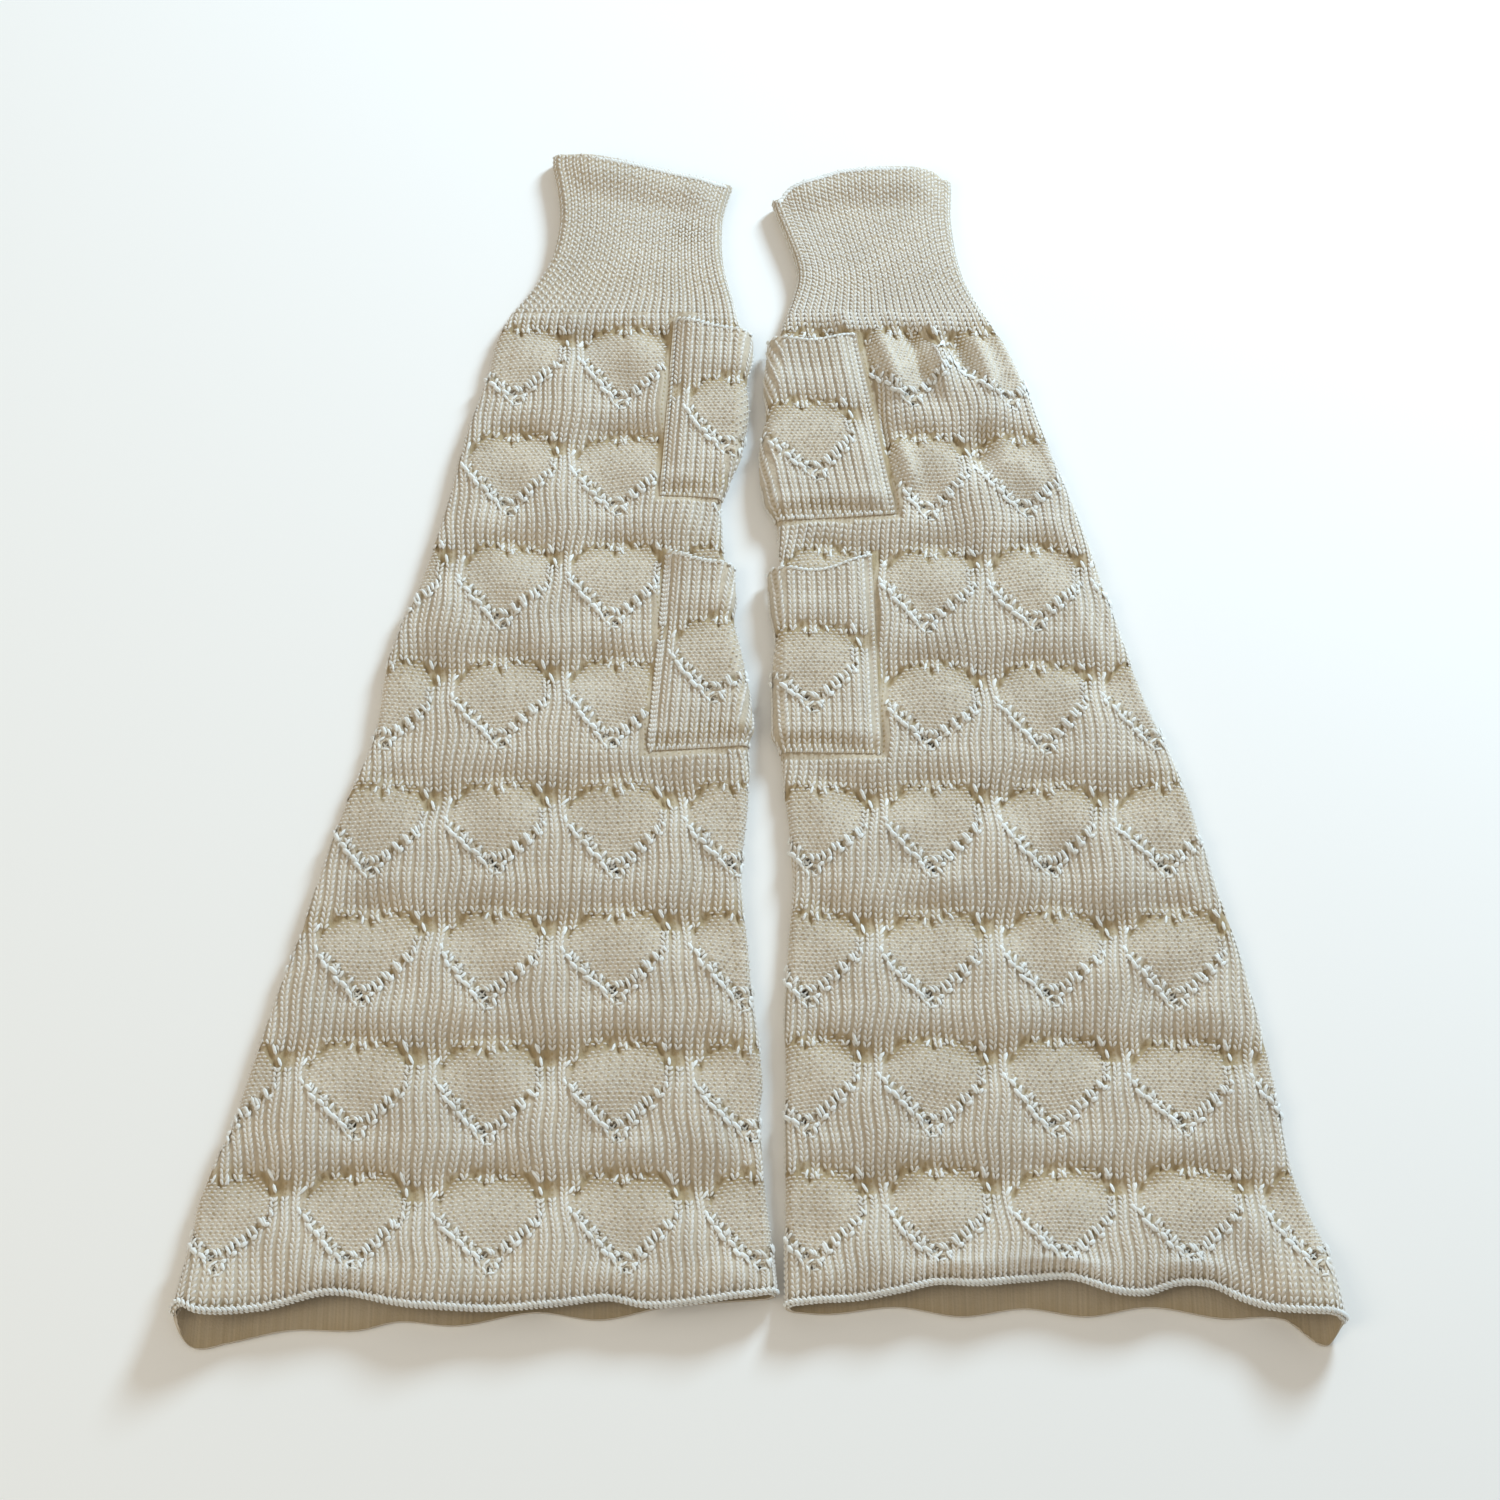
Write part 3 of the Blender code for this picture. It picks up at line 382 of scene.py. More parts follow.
def heart_share(across, up, blur=1.0):
    """1 inside a heart, 0 in the ribs, from the place in its repeat."""
    across = across - HEART_LEAN
    top = HEART_NOTCH + LOBE_RISE * np.abs(np.sin(np.pi * np.clip(across / LOBE_REACH, -1, 1)))
    half = np.minimum(HEART_HALF, HEART_SLOPE * (up + 0.005))
    half = half - SHOULDER * soft_step((up - SHOULDER_START) / SHOULDER_REACH)
    inside = np.minimum((half - np.abs(across)) / (HEART_EDGE[0] * blur),
                        (top - up) / (HEART_EDGE[1] * blur))
    return soft_step(inside + 0.5)


def neck_dent(across, up):
    """The small dent beside each heart's upper corner, on the side away from the window, which also
    gets painted shade.
    """
    aside = (across - NECK_PLACE[0] + 0.5) % 1.0 - 0.5
    return np.exp(-(aside / NECK_SIZE[0]) ** 2 - ((up - NECK_PLACE[1]) / NECK_SIZE[1]) ** 2)


def row_swell(across, up, column=0.0, row=0.0):
    """Soft billows: pillows of ribs between the hearts, sunk round the hearts' tops."""
    ribs = 0.5 - 0.5 * np.cos(2 * np.pi * (across - HEART_LEAN))
    uneven = np.sin(np.pi * up) ** 2
    middle = curve(HEART_LINE, up) * (1.0 + 0.3 * jitter(column, row, 9) * uneven)
    between = curve(RIB_LINE, up) * (1.0 + 0.2 * jitter(0.0, row, 5) * uneven)
    return mm(sizes().row_swell) * (middle + (between - middle) * ribs)


def pocket_lines(leg, name):
    """Y of a pocket's top and bottom over x, and x of its free side over y."""
    top_in, top_out, low_in, low_out = leg["pockets"][name]

    def line(a, b):
        return lambda x: a[1] + (b[1] - a[1]) * (x - a[0]) / (b[0] - a[0])

    def top(x):
        share = np.clip((x - top_in[0]) / (top_out[0] - top_in[0]), 0.0, 1.0)
        return line(top_in, top_out)(x) - leg["pocket_sag"][name] * np.sin(np.pi * share) ** 1.5

    def side(y):
        return low_out[0] + (top_out[0] - low_out[0]) * (y - low_out[1]) / (top_out[1] - low_out[1])

    return top, line(low_in, low_out), side


def waves(table, a, b, hand=1.0, bend=0.0):
    """Sum of slow waves over two measures.

    Each row of the table has a size, the rates of both measures, a phase and a share of the bend.
    """
    return sum(size * np.sin(rate_a * a + rate_b * b + phase * hand + share * bend)
               for size, rate_a, rate_b, phase, share in table)


def covered(leg, x, y, margin=4.0):
    """1 under a pocket, falling to 0 a little outside it."""
    most = np.zeros(np.broadcast(x, y).shape)
    for name in leg["pockets"]:
        top, bottom, side = pocket_lines(leg, name)
        inside = np.minimum(np.minimum(top(x) - y, y - bottom(x)), (side(y) - x) * leg["side"])
        most = np.maximum(most, soft_step(1.0 + inside / margin))
    return most


def ridges(leg, x, y):
    """The soft folds that run down from the cuff and the creases of the laid cloth."""
    height = np.zeros(x.shape)
    for top_x, low_x, low_y, lift in leg["gathers"]:
        along = (CUFF_START - y) / (CUFF_START - low_y)
        centre = top_x + (low_x - top_x) * along
        fade = soft_step((GATHER_END - along) / GATHER_FADE)
        height += lift * fade * np.exp(-((x - centre) / GATHER_WIDTH) ** 2)
    for ax, ay, bx, by, width, lift in leg["creases"]:
        length = math.hypot(bx - ax, by - ay)
        tx, ty = (bx - ax) / length, (by - ay) / length
        along = ((x - ax) * tx + (y - ay) * ty) / length
        aside = (x - ax) * ty - (y - ay) * tx
        fade = soft_step(1.5 - np.abs(along - 0.5) * 2)
        height += lift * fade * np.exp(-(aside / width) ** 2)
    return height


def drape(leg, x, y, wale, lift, back, patch):
    """Points of the tube's skin, lift above the middle of its wall; x runs on round the folds.

    Gives the points and how far past the side seam each would lie, in millimetres.
    """
    side, wall = leg["side"], mm(sizes().wall)
    fold = (wall + HOLLOW) / 2
    course = y_to_course(leg, y)
    hem = soft_step(1.0 - (course - HEM_COURSE) / HEM_LIFT_REACH)
    inner, outer = curve(leg["edges"], y, 1), curve(leg["edges"], y, 2)
    loop = OUTER_MOUTH * hem ** 2
    seam_height = wall + HOLLOW / 2
    distance = (x - inner) * side
    width = np.abs(outer - inner)
    start, end = wall / 2 + fold + INNER_MOUTH * hem, width - wall / 2 - fold - loop
    flat = np.clip(distance, start, end)
    flat_x = inner + side * flat
    seams = (seam_height + INNER_MOUTH * hem, seam_height + MOUTH_RISE * loop)
    runs = (fold + INNER_MOUTH * hem, fold + loop)
    if back:
        flat_z = wall / 2 - lift
    else:
        up = course - np.floor(course)
        column = np.round(wale)
        across = (wale - column) * side
        bare = 0.0 if patch else 1.0 - covered(leg, flat_x, y)
        fade = soft_step((CUFF_START - y) / CUFF_BLEND)
        uneven = waves(BROAD_WAVES, flat_x, y, side)
        uneven += bare * waves(FINE_WAVES, flat_x, y, side, waves(BEND_WAVES, flat_x, y))
        middle = seam_height + fold + HEM_LIFT * hem
        middle = middle + HEM_SCALLOP * hem * np.cos(2 * np.pi * wale)
        swell = row_swell(across, up, column, np.floor(course)) * fade
        middle = middle + bare * (swell + ridges(leg, flat_x, y)) + uneven * fade
        inner_top, outer_top = seams[0] + runs[0], seams[1] + runs[1]
        level = inner_top + (middle - inner_top) * soft_step((flat - start) / FOLD_BLEND)
        from_outer = soft_step((end - flat) / (FOLD_BLEND + LOOP_BLEND * hem))
        flat_z = outer_top + (level - outer_top) * from_outer + lift
    out_x, out_z, past = flat_x, flat_z, np.full(x.shape, -1.0)
    round_share = np.ones(x.shape)
    for outside, over in ((False, start - distance), (True, distance - end)):
        seam, run = seams[outside], runs[outside]
        edge, inward = (outer, -side) if outside else (inner, side)
        arc = (run + wall / 2) * math.pi / 2
        angle = np.clip(1.0 - over / arc, 0.0, 1.0) * math.pi / 2
        c, s = np.cos(angle), np.sin(angle)
        fold_x = edge + inward * (wall / 2 + run * (1 - c) - lift * c)
        fold_z = seam - (seam - wall / 2 + lift) * s if back else seam + (run + lift) * s
        on_fold = over > 0
        out_x = np.where(on_fold, fold_x, out_x)
        out_z = np.where(on_fold, fold_z, out_z)
        past = np.where(on_fold, over - arc, past)
        round_share = np.where(on_fold, s, round_share)
    reach = soft_step(1.0 - (course - HEM_COURSE) / SCALLOP_REACH)
    nominal = course_to_y(leg, np.array(HEM_COURSE))
    front_hem, back_hem = curve(leg["front_hem"], out_x, 1), curve(leg["back_hem"], out_x, 1)
    own = back_hem if back else front_hem
    seam_hem = (front_hem + back_hem) / 2
    shift = (seam_hem + (own - seam_hem) * soft_step(round_share) - nominal) * reach
    return np.stack([out_x, y + shift, out_z], -1), past


class Panel:
    """The front or back of a leg."""

    patch = False

    def __init__(self, leg, back=False):
        self.leg, self.back, self.side = leg, back, leg["side"]
        self.lines = leg["tips"] + [leg["top"]]

    def pitch(self, y):
        return curve(self.lines, y, 2)

    def row_height(self, course):
        return course_to_y(self.leg, np.floor(course) + 1) - course_to_y(self.leg, np.floor(course))

    def xy(self, wale, course):
        y = course_to_y(self.leg, course)
        x = curve(self.lines, y, 1) + self.side * wale * self.pitch(y)
        calm = soft_step((course - HEM_COURSE) / 0.5) * soft_step((CUFF_START - y) / 20.0)
        spread = np.sin(2 * np.pi * wale) * np.cos(2 * np.pi * (course - 0.05))
        x = x - 0.7 * self.side * calm * spread
        x = x + calm * waves(WALE_WAVES, course, wale)
        y = y + calm * waves(COURSE_WAVES, course, wale, self.side)
        return x, y

    def base(self, wale, course):
        return mm(sizes().wall) / 2

    def skin(self, wale, course, lift):
        wale, course, lift = (np.asarray(a, float) for a in np.broadcast_arrays(wale, course, lift))
        x, y = self.xy(wale, course)
        return drape(self.leg, x, y, wale, lift + self.base(wale, course), self.back, self.patch)

    def hidden(self, wale, course):
        """Whether a place lies under a pocket, where no stitch is needed."""
        x, y = self.xy(wale, course)
        return covered(self.leg, x, y, 4.5) > 0.35

    def span(self):
        """Wales that reach both side seams over the whole panel."""
        course = np.linspace(HEM_COURSE, y_to_course(self.leg, np.array(CUFF_START)), 200)
        y = course_to_y(self.leg, course)
        first, pitch = curve(self.lines, y, 1), self.pitch(y)
        ends = [(curve(self.leg["edges"], y, k) - first) * self.side / pitch for k in (1, 2)]
        return ends[0].min() - SEAM_WALES[0], ends[1].max() + SEAM_WALES[1]


class Pocket(Panel):
    """A patch that is sewn on the front of a leg along its inner fold."""

    patch = True

    def __init__(self, leg, name):
        super().__init__(leg)
        self.name = name
        self.tip = leg["pocket_tips"][name]
        self.top, self.bottom, self.free_side = pocket_lines(leg, name)
        low, high = self.free_side(self.tip[1]), self.free_side(self.tip[1] + 1.0)
        self.slope = high - low

    def pitch(self, y):
        return np.full(np.shape(y), POCKET_REPEAT)

    def row_height(self, course):
        return np.full(np.shape(course), POCKET_ROW)

    def xy(self, wale, course):
        y = self.tip[1] + course * POCKET_ROW
        return self.tip[0] + self.slope * (y - self.tip[1]) + self.side * wale * POCKET_REPEAT, y

    def spans(self):
        """Wale and course of its lower and upper corners; it is cut off past the inner fold."""
        heights = [corner[1] for corner in self.leg["pockets"][self.name]]
        free = (self.free_side(self.tip[1]) - self.tip[0]) * self.side / POCKET_REPEAT
        low, high = ((y - self.tip[1]) / POCKET_ROW for y in (min(heights), max(heights)))
        return (-1.1, low), (free, high)

    def edge_distance(self, x, y):
        """How far a point lies inside the pocket's top, bottom and free side."""
        return self.top(x) - y, y - self.bottom(x), (self.free_side(y) - x) * self.side

    def base(self, wale, course):
        x, y = self.xy(wale, course)
        to_top, to_bottom, to_side = self.edge_distance(x, y)
        sewn = np.minimum(to_bottom * 1.3, to_side)
        drop = POCKET_SEWN * (1.0 - soft_step(sewn / POCKET_RISE))
        drop = drop * soft_step((to_top + 2.0) / 10.0)
        gape = POCKET_GAPE * soft_step(1.0 - to_top / 16.0) * soft_step(to_side / 12.0)
        up = course - np.floor(course)
        swell = POCKET_SWELL * row_swell(wale - np.round(wale), up) * soft_step(sewn / 8.0)
        high, above, reach = POCKET_ROLL
        roll = high * np.exp(-((to_bottom - above) / reach) ** 2)
        return mm(sizes().wall) / 2 + POCKET_GAP + POCKET_WALL - drop + gape + swell + roll

    def hidden(self, wale, course):
        """Whether a place lies past the pocket's edges or on them."""
        x, y = self.xy(wale, course)
        to_top, to_bottom, to_side = self.edge_distance(x, y)
        return np.minimum(np.minimum(to_top, to_bottom), to_side) < 0.9


def local_place(cloth, wale, course):
    """Place inside a heart's repeat: millimetres from its tip, and shares of the repeat."""
    row = np.floor(course + ROW_START)
    column = np.round(wale - cloth.side * HEART_LEAN)
    if cloth.patch:
        row, column = np.zeros(np.shape(row)), np.zeros(np.shape(column))
    across = (wale - column) * cloth.side
    up = course - row
    y = course_to_y(cloth.leg, course)
    dx = across * cloth.pitch(y)
    dy = up * cloth.row_height(course)
    return dx, dy, across, up, column, row


def jitter(column, row, k):
    """A small steady difference between one heart and the next."""
    return np.sin(column * 12.9 + row * 7.23 + k * 3.7)


def gap_radius(cloth, wale, course, gaps):
    """The least elliptic radius from any gap, below 1 inside one, and the way to its middle."""
    dx, dy, _, _, column, row = local_place(cloth, wale, course)
    least, to_x, to_y = np.full(dx.shape, 9.0), np.zeros(dx.shape), np.zeros(dx.shape)
    below = np.where(row < 0, 9.0, 0.0)    # no gaps in the hem's band
    for k, (gx, gy, half_length, half_width, turn) in enumerate(gaps):
        size = 1.0 + GAP_SPREAD * jitter(column, row, k + 5)
        ax = dx - gx - GAP_SHIFT * jitter(column, row, k)
        ay = dy - gy - GAP_SHIFT * jitter(column, row, k + 2)
        c, s = math.cos(math.radians(turn)), math.sin(math.radians(turn))
        radius = below + np.hypot((ax * c + ay * s) / (half_length * size),
                                  (ay * c - ax * s) / (half_width * size))
        nearer = radius < least
        least, to_x, to_y = (np.where(nearer, new, old) for new, old in
                             ((radius, least), (-ax, to_x), (-ay, to_y)))
    return least, to_x, to_y


def snap_to_holes(cloth, wale, course):
    """Move the points that lie near a hole's edge onto it."""
    radius, to_x, to_y = gap_radius(cloth, wale, course, HOLES)
    near = (radius > SNAP[0]) & (radius < SNAP[1])
    share = np.where(near, 1.0 - 1.0 / radius, 0.0)
    pitch = cloth.pitch(course_to_y(cloth.leg, course))
    wale = wale + share * to_x * cloth.side / pitch
    course = course + share * to_y / cloth.row_height(course)
    return wale, course, np.where(near, 1.0, radius) < 1.001


def rib_crest(rib):
    """1 on the crest of a rib, which has a whole number, 0 in the groove beside it."""
    return np.abs(np.cos(np.pi * rib)) ** 0.8


def relief(cloth, wale, course):
    """Height of the cloth's face above its mean level, and its painted shade."""
    _, _, across, up, column, row = local_place(cloth, wale, course)
    heart = heart_share(across, up)
    crest = rib_crest(RIBS * (wale - 0.5))
    neck = neck_dent(across, up)
    billow = 1.1 * row_swell(across, up % 1.0, column, row) / mm(sizes().row_swell)
    valley = soft_step(-0.1 - billow)
    depth = mm(sizes().rib_depth)
    height = (1 - heart) * (depth * crest - GROOVE_SINK * depth)
    height = height - heart * mm(sizes().heart_recess)
    # The slits are sunk as pits, and painted shade darkens them.
    slit, _, _ = gap_radius(cloth, wale, course, SLITS)
    pit = soft_step(PIT_REACH - slit)
    height = height - PIT_DEPTH * pit - NECK_DEPTH * neck
    if cloth.back:
        height = np.minimum(height, BACK_RELIEF * depth) - BACK_RELIEF * depth
    elif not cloth.patch:
        groove, above, reach = HEM_GROOVE
        height = height - groove * np.exp(-((course - HEM_COURSE - above) / reach) ** 2)
    # Painted shade: darker colour down the rib grooves, in the billows' valleys and the neck dents,
    # and over the hearts' ground, most at their tops and rims.
    ribs = (1 - heart) * (sizes().rib_shade * (1 - crest) + RIB_GROUND)
    painted_dip_shade = np.maximum(VALLEY_SHADE * valley, NECK_SHADE * neck)
    top, border = soft_step((up - 0.30) / 0.36), 1.0 - heart_share(across, up, 5.0)
    ground = heart * (sizes().heart_shade + HEART_TOP_SHADE * top + HEART_RIM_SHADE * border
                      - HEART_LIGHT)
    painted_shade = np.clip(ribs + ground + painted_dip_shade + pit, 0.0, 1.0)
    return height, painted_shade


def to_scene(points):
    return (points - np.array(CENTRE)) * MM


def grid(columns, rows):
    """A plain grid as a bmesh, with the share across and up of each vertex."""
    mesh = bmesh.new()
    bmesh.ops.create_grid(mesh, x_segments=columns - 1, y_segments=rows - 1, size=0.5)
    flat = np.array([vert.co[:2] for vert in mesh.verts]) + 0.5
    return mesh, flat[:, 0], flat[:, 1]


def place_verts(mesh, points):
    for vert, point in zip(mesh.verts, points.tolist()):
        vert.co = point


def put_values(mesh, painted_shade, us, vs):
    """Store each vertex's painted shade, and its place in the knitting as a UV map."""
    layer = mesh.verts.layers.float.new("painted_shade")
    uv = mesh.loops.layers.uv.new("UVMap")
    painted_shade, places = painted_shade.tolist(), list(zip(us.tolist(), vs.tolist()))
    for vert in mesh.verts:
        vert[layer] = painted_shade[vert.index]
        for loop in vert.link_loops:
            loop[uv].uv = places[vert.index]


def rim(mesh, thickness):
    """Turn every open edge down by the cloth's thickness, with a crisp corner."""
    mesh.normal_update()
    edges = [edge for edge in mesh.edges if edge.is_boundary]
    for edge in edges:
        edge.smooth = False
    lower = {}
    for edge in edges:
        for vert in edge.verts:
            if vert not in lower:
                lower[vert] = vert.co - vert.normal * thickness
    made = {vert: mesh.verts.new(place) for vert, place in lower.items()}
    for edge in edges:
        loop = edge.link_loops[0]
        a, b = loop.vert, loop.link_loop_next.vert
        face = mesh.faces.new((b, a, made[a], made[b]))
        face.smooth = True


def finish_mesh(name, mesh):
    data = bpy.data.meshes.new(name)
    mesh.to_mesh(data)
    mesh.free()
    data.polygons.foreach_set("use_smooth", np.ones(len(data.polygons), bool))
    obj = bpy.data.objects.new(name, data)
    bpy.context.scene.collection.objects.link(obj)
    return obj


def cloth_skin(cloth, spans, columns, rows, lift, flip):
    """One face of the cloth as a bmesh in metres, with its painted shade in a vertex layer."""
    low, high = spans
    mesh, share_x, share_y = grid(columns, rows)
    wale = low[0] + (high[0] - low[0]) * share_x
    course = low[1] + (high[1] - low[1]) * share_y
    if cloth.patch:
        x, y = cloth.xy(wale, cloth_course(cloth, wale, share_y, low, high))
        course = (y - cloth.tip[1]) / POCKET_ROW
    wale, course, inside = snap_to_holes(cloth, wale, course)
    height, painted_shade = relief(cloth, wale, course)
    if not cloth.patch:
        x, y = cloth.xy(wale, course)
        under = 0.0 if cloth.back else covered(cloth.leg, x, y)
        height = height * (1 - under)
        if not cloth.back:
            # Painted shade in the creases' hollows, and a painted shadow beside each pocket's
            # edges.
            sunk = CREASE_SHADE * soft_step(-ridges(cloth.leg, x, y) / CREASE_FULL)
            beside = POCKET_SHADE * covered(cloth.leg, x, y, POCKET_SHADE_REACH)
            painted_shade = np.clip(painted_shade + (sunk + beside), 0.0, 1.0)
    if lift < 0:
        # Inner skins keep less of the painted shade, and take more painted shade inside the hem's
        # mouth.
        mouth = MOUTH_SHADE * np.exp(-((course - HEM_COURSE) / MOUTH_SHADE_REACH) ** 2)
        height, painted_shade = height * INNER_RELIEF, painted_shade * INNER_RELIEF + mouth
    points, past = cloth.skin(wale, course, height + lift)
    place_verts(mesh, to_scene(points))
    # An inner skin's courses are squeezed together, so that it shows streaks and no stitches.
    put_values(mesh, painted_shade, wale * RIBS, course * (COURSES if lift >= 0 else 0.01))
    away = past > 0
    remove = [face for face in mesh.faces if all(away[vert.index] for vert in face.verts)
              or all(inside[vert.index] for vert in face.verts)]
    bmesh.ops.delete(mesh, geom=remove, context="FACES")
    bmesh.ops.remove_doubles(mesh, verts=mesh.verts, dist=MERGE)
    if flip:
        bmesh.ops.reverse_faces(mesh, faces=mesh.faces)
    return mesh


def cloth_course(cloth, wale, share_y, low, high):
    """Course of a pocket's point: its rows run from its slanting bottom to its slanting top."""
    course = low[1] + (high[1] - low[1]) * share_y
    for _ in range(3):
        x, _ = cloth.xy(wale, course)
        y = cloth.bottom(x) + (cloth.top(x) - cloth.bottom(x)) * share_y
        course = (y - cloth.tip[1]) / POCKET_ROW
    return course


def add_mesh(target, source):
    """Put a copy of one bmesh's geometry into another."""
    data = bpy.data.meshes.new("part")
    source.to_mesh(data)
    source.free()
    target.from_mesh(data)
    bpy.data.meshes.remove(data)


def sheet_object(name, cloth, spans, outer_size, inner_size):
    """Outer skin, turned edges and inner skin of one piece of cloth as one object."""
    thickness = mm(sizes().wall) - 0.4
    flip = (cloth.side < 0) != cloth.back
    mesh = cloth_skin(cloth, spans, *outer_size, 0.0, flip)
    rim(mesh, thickness * MM)
    add_mesh(mesh, cloth_skin(cloth, spans, *inner_size, -thickness, not flip))
    return finish_mesh(name, mesh)


# One leg of a knit stitch: its middle lies this far beside the crest, and it leans so many degrees.
LEG_ASIDE, LEG_LEAN, LEG_HEIGHT = 0.98, 23, 0.62
PURL_DEPTH = 0.56         # half the depth of a purl bump along the wale
# Bound-off and sewn edges: lift, half length, half width and turn of each loop. A hem's chain
# starts with how many courses it lies above the hem.
HEM_CHAINS = [(0.014, 0.4, 1.8, 0.72, -38), (0.002, -1.0, 1.6, 0.6, -38)]
POCKET_TOP_LOOPS, POCKET_LOW_LOOPS = (0.2, 1.6, 0.66, 24), (0.05, 1.2, 0.5, 78)
POCKET_SIDE_LOOPS = (0.05, 1.2, 0.5, 62)
CUFF_EDGE = (1.004, -0.9)        # level and lift of the row along the rounded edge
CUFF_WALL = 2.0

# A strand as a low pointed hull: ring round its foot and two points along its back.
STRAND = np.array([(-1.0, 0, 0), (-0.5, -1, 0), (0.5, -1, 0), (1.0, 0, 0), (0.5, 1, 0),
                   (-0.5, 1, 0), (-0.45, 0, 1), (0.45, 0, 1)], float)
STRAND_FACES = np.array([(0, 1, 6), (1, 2, 7), (1, 7, 6), (2, 3, 7), (3, 4, 7), (4, 5, 6),
                         (4, 6, 7), (5, 0, 6)])
BUMP = np.array([(math.cos(k * math.pi / 3), math.sin(k * math.pi / 3), 0) for k in range(6)]
                + [(0, 0, 1)], float)
BUMP_FACES = np.array([(k, (k + 1) % 6, 6) for k in range(6)])


def copies(shape, middle, across, along, size, turn):
    """A copy of a small shape at each middle, turned so many degrees from the way across.

    Size gives its half length, half width and height.
    """
    across /= np.linalg.norm(across, axis=-1, keepdims=True) + TINY
    along -= across * np.sum(across * along, -1, keepdims=True)
    along /= np.linalg.norm(along, axis=-1, keepdims=True) + TINY
    turn = np.radians(np.broadcast_to(turn, middle.shape[:1]))[:, None]
    axes = (across * np.cos(turn) + along * np.sin(turn),
            along * np.cos(turn) - across * np.sin(turn), np.cross(across, along))
    points = np.repeat(middle[:, None, :], len(shape), axis=1)
    for k, axis in enumerate(axes):
        scale = np.broadcast_to(np.asarray(size[k], float), middle.shape[:1])
        points = points + shape[None, :, k:k + 1] * scale[:, None, None] * axis[:, None, :]
    return points


def scatter(cloth, wale, course, size, turn, lift, shape=STRAND):
    """Copies of a small shape on a panel or pocket, without those past its side seams."""
    middle, past = cloth.skin(wale, course, lift)
    across = cloth.skin(wale + cloth.side * STEP, course, lift)[0] - middle
    along = cloth.skin(wale, course + STEP, lift)[0] - middle
    return copies(shape, middle, across, along, size, turn)[past <= -SEAM_CLEAR]


def joined(name, groups):
    """One object from many small shapes: groups of points with their template's faces."""
    points, index, tone, start = [], [], [], 0
    random = np.random.default_rng(11)
    for group, faces in groups:
        if not len(group):
            continue
        count, each = group.shape[:2]
        points.append(group.reshape(-1, 3))
        index.append((np.arange(count)[:, None, None] * each + faces[None] + start).reshape(-1))
        tone.append(np.repeat(random.uniform(0.0, 1.0, count), each))
        start += count * each
    points, index, tone = np.concatenate(points), np.concatenate(index), np.concatenate(tone)
    data = bpy.data.meshes.new(name)
    data.vertices.add(len(points))
    data.vertices.foreach_set("co", to_scene(points).reshape(-1))
    data.loops.add(len(index))
    data.loops.foreach_set("vertex_index", index)
    data.polygons.add(len(index) // 3)
    data.polygons.foreach_set("loop_start", np.arange(0, len(index), 3))
    data.update(calc_edges=True)
    data.polygons.foreach_set("use_smooth", np.ones(len(data.polygons), bool))
    data.attributes.new("tone", "FLOAT", "POINT").data.foreach_set("value", tone)
    obj = bpy.data.objects.new(name, data)
    bpy.context.scene.collection.objects.link(obj)
    return obj


def open_gap(cloth, wale, course):
    """Radius from the nearest hole or slit, below 1 inside one."""
    return np.minimum(*(gap_radius(cloth, wale, course, gaps)[0] for gaps in (HOLES, SLITS)))


def about(random, spread, like, middle=1.0):
    """Random numbers so far to both sides of a middle."""
    return middle + random.uniform(-spread, spread, like.shape)


def knit_legs(cloth, low, high, random):
    """The legs of the knit stitches along the crests of the ribs."""
    s = sizes()
    ribs = np.arange(math.floor((low[0] - 0.5) * RIBS), math.ceil((high[0] - 0.5) * RIBS) + 1)
    steps = np.arange(math.ceil(low[1] * COURSES), math.floor(high[1] * COURSES))
    wale, course = np.meshgrid(0.5 + ribs / RIBS, (steps + 0.5) / COURSES)
    wale, course = wale.reshape(-1), course.reshape(-1)
    _, _, across, up, _, _ = local_place(cloth, wale, course)
    keep = (heart_share(across, up) < 0.8) & (open_gap(cloth, wale, course) > 1.1)
    keep &= (neck_dent(across, up) < 0.5) & ~cloth.hidden(wale, course)
    wale, course = wale[keep], course[keep]
    pitch = cloth.pitch(course_to_y(cloth.leg, course))
    groups = []
    for hand in (-1, 1):
        aside = wale + cloth.side * hand * about(random, 0.12, wale, LEG_ASIDE) / pitch
        turn = 90 - hand * about(random, 8, wale, LEG_LEAN)
        reach = mm(s.stitch_reach) * random.uniform(0.92, 1.1, wale.shape)
        width = mm(s.strand) * random.uniform(0.9, 1.12, wale.shape)
        strands = scatter(cloth, aside, course, (reach, width, LEG_HEIGHT), turn, 0.05)
        groups.append((strands, STRAND_FACES))
    return groups


def purl_bumps(cloth, low, high, random):
    """The staggered bumps of the purl ground inside the hearts."""
    s = sizes()
    steps_x = np.arange(math.floor(low[0] * 2 * RIBS), math.ceil(high[0] * 2 * RIBS) + 1)
    steps_y = np.arange(math.ceil(low[1] * PURL_ROWS), math.floor(high[1] * PURL_ROWS))
    column, row = (steps.reshape(-1) for steps in np.meshgrid(steps_x, steps_y))
    wale = (column + 0.5 * (row % 2)) / (2 * RIBS)
    course = (row + 0.5) / PURL_ROWS
    _, _, across, up, _, _ = local_place(cloth, wale, course)
    keep = (heart_share(across, up) > 0.2) & (open_gap(cloth, wale, course) > 1.15)
    keep &= ~cloth.hidden(wale, course)
    wale, course = wale[keep], course[keep]
    width = mm(s.purl_width) * random.uniform(0.88, 1.12, wale.shape)
    height = mm(s.purl_height) * random.uniform(0.6, 1.35, wale.shape)
    turn = random.uniform(-14, 14, wale.shape)
    lift = -mm(s.heart_recess) - 0.12
    bumps = scatter(cloth, wale, course, (width, PURL_DEPTH, height), turn, lift, BUMP)
    return [(bumps, BUMP_FACES)]


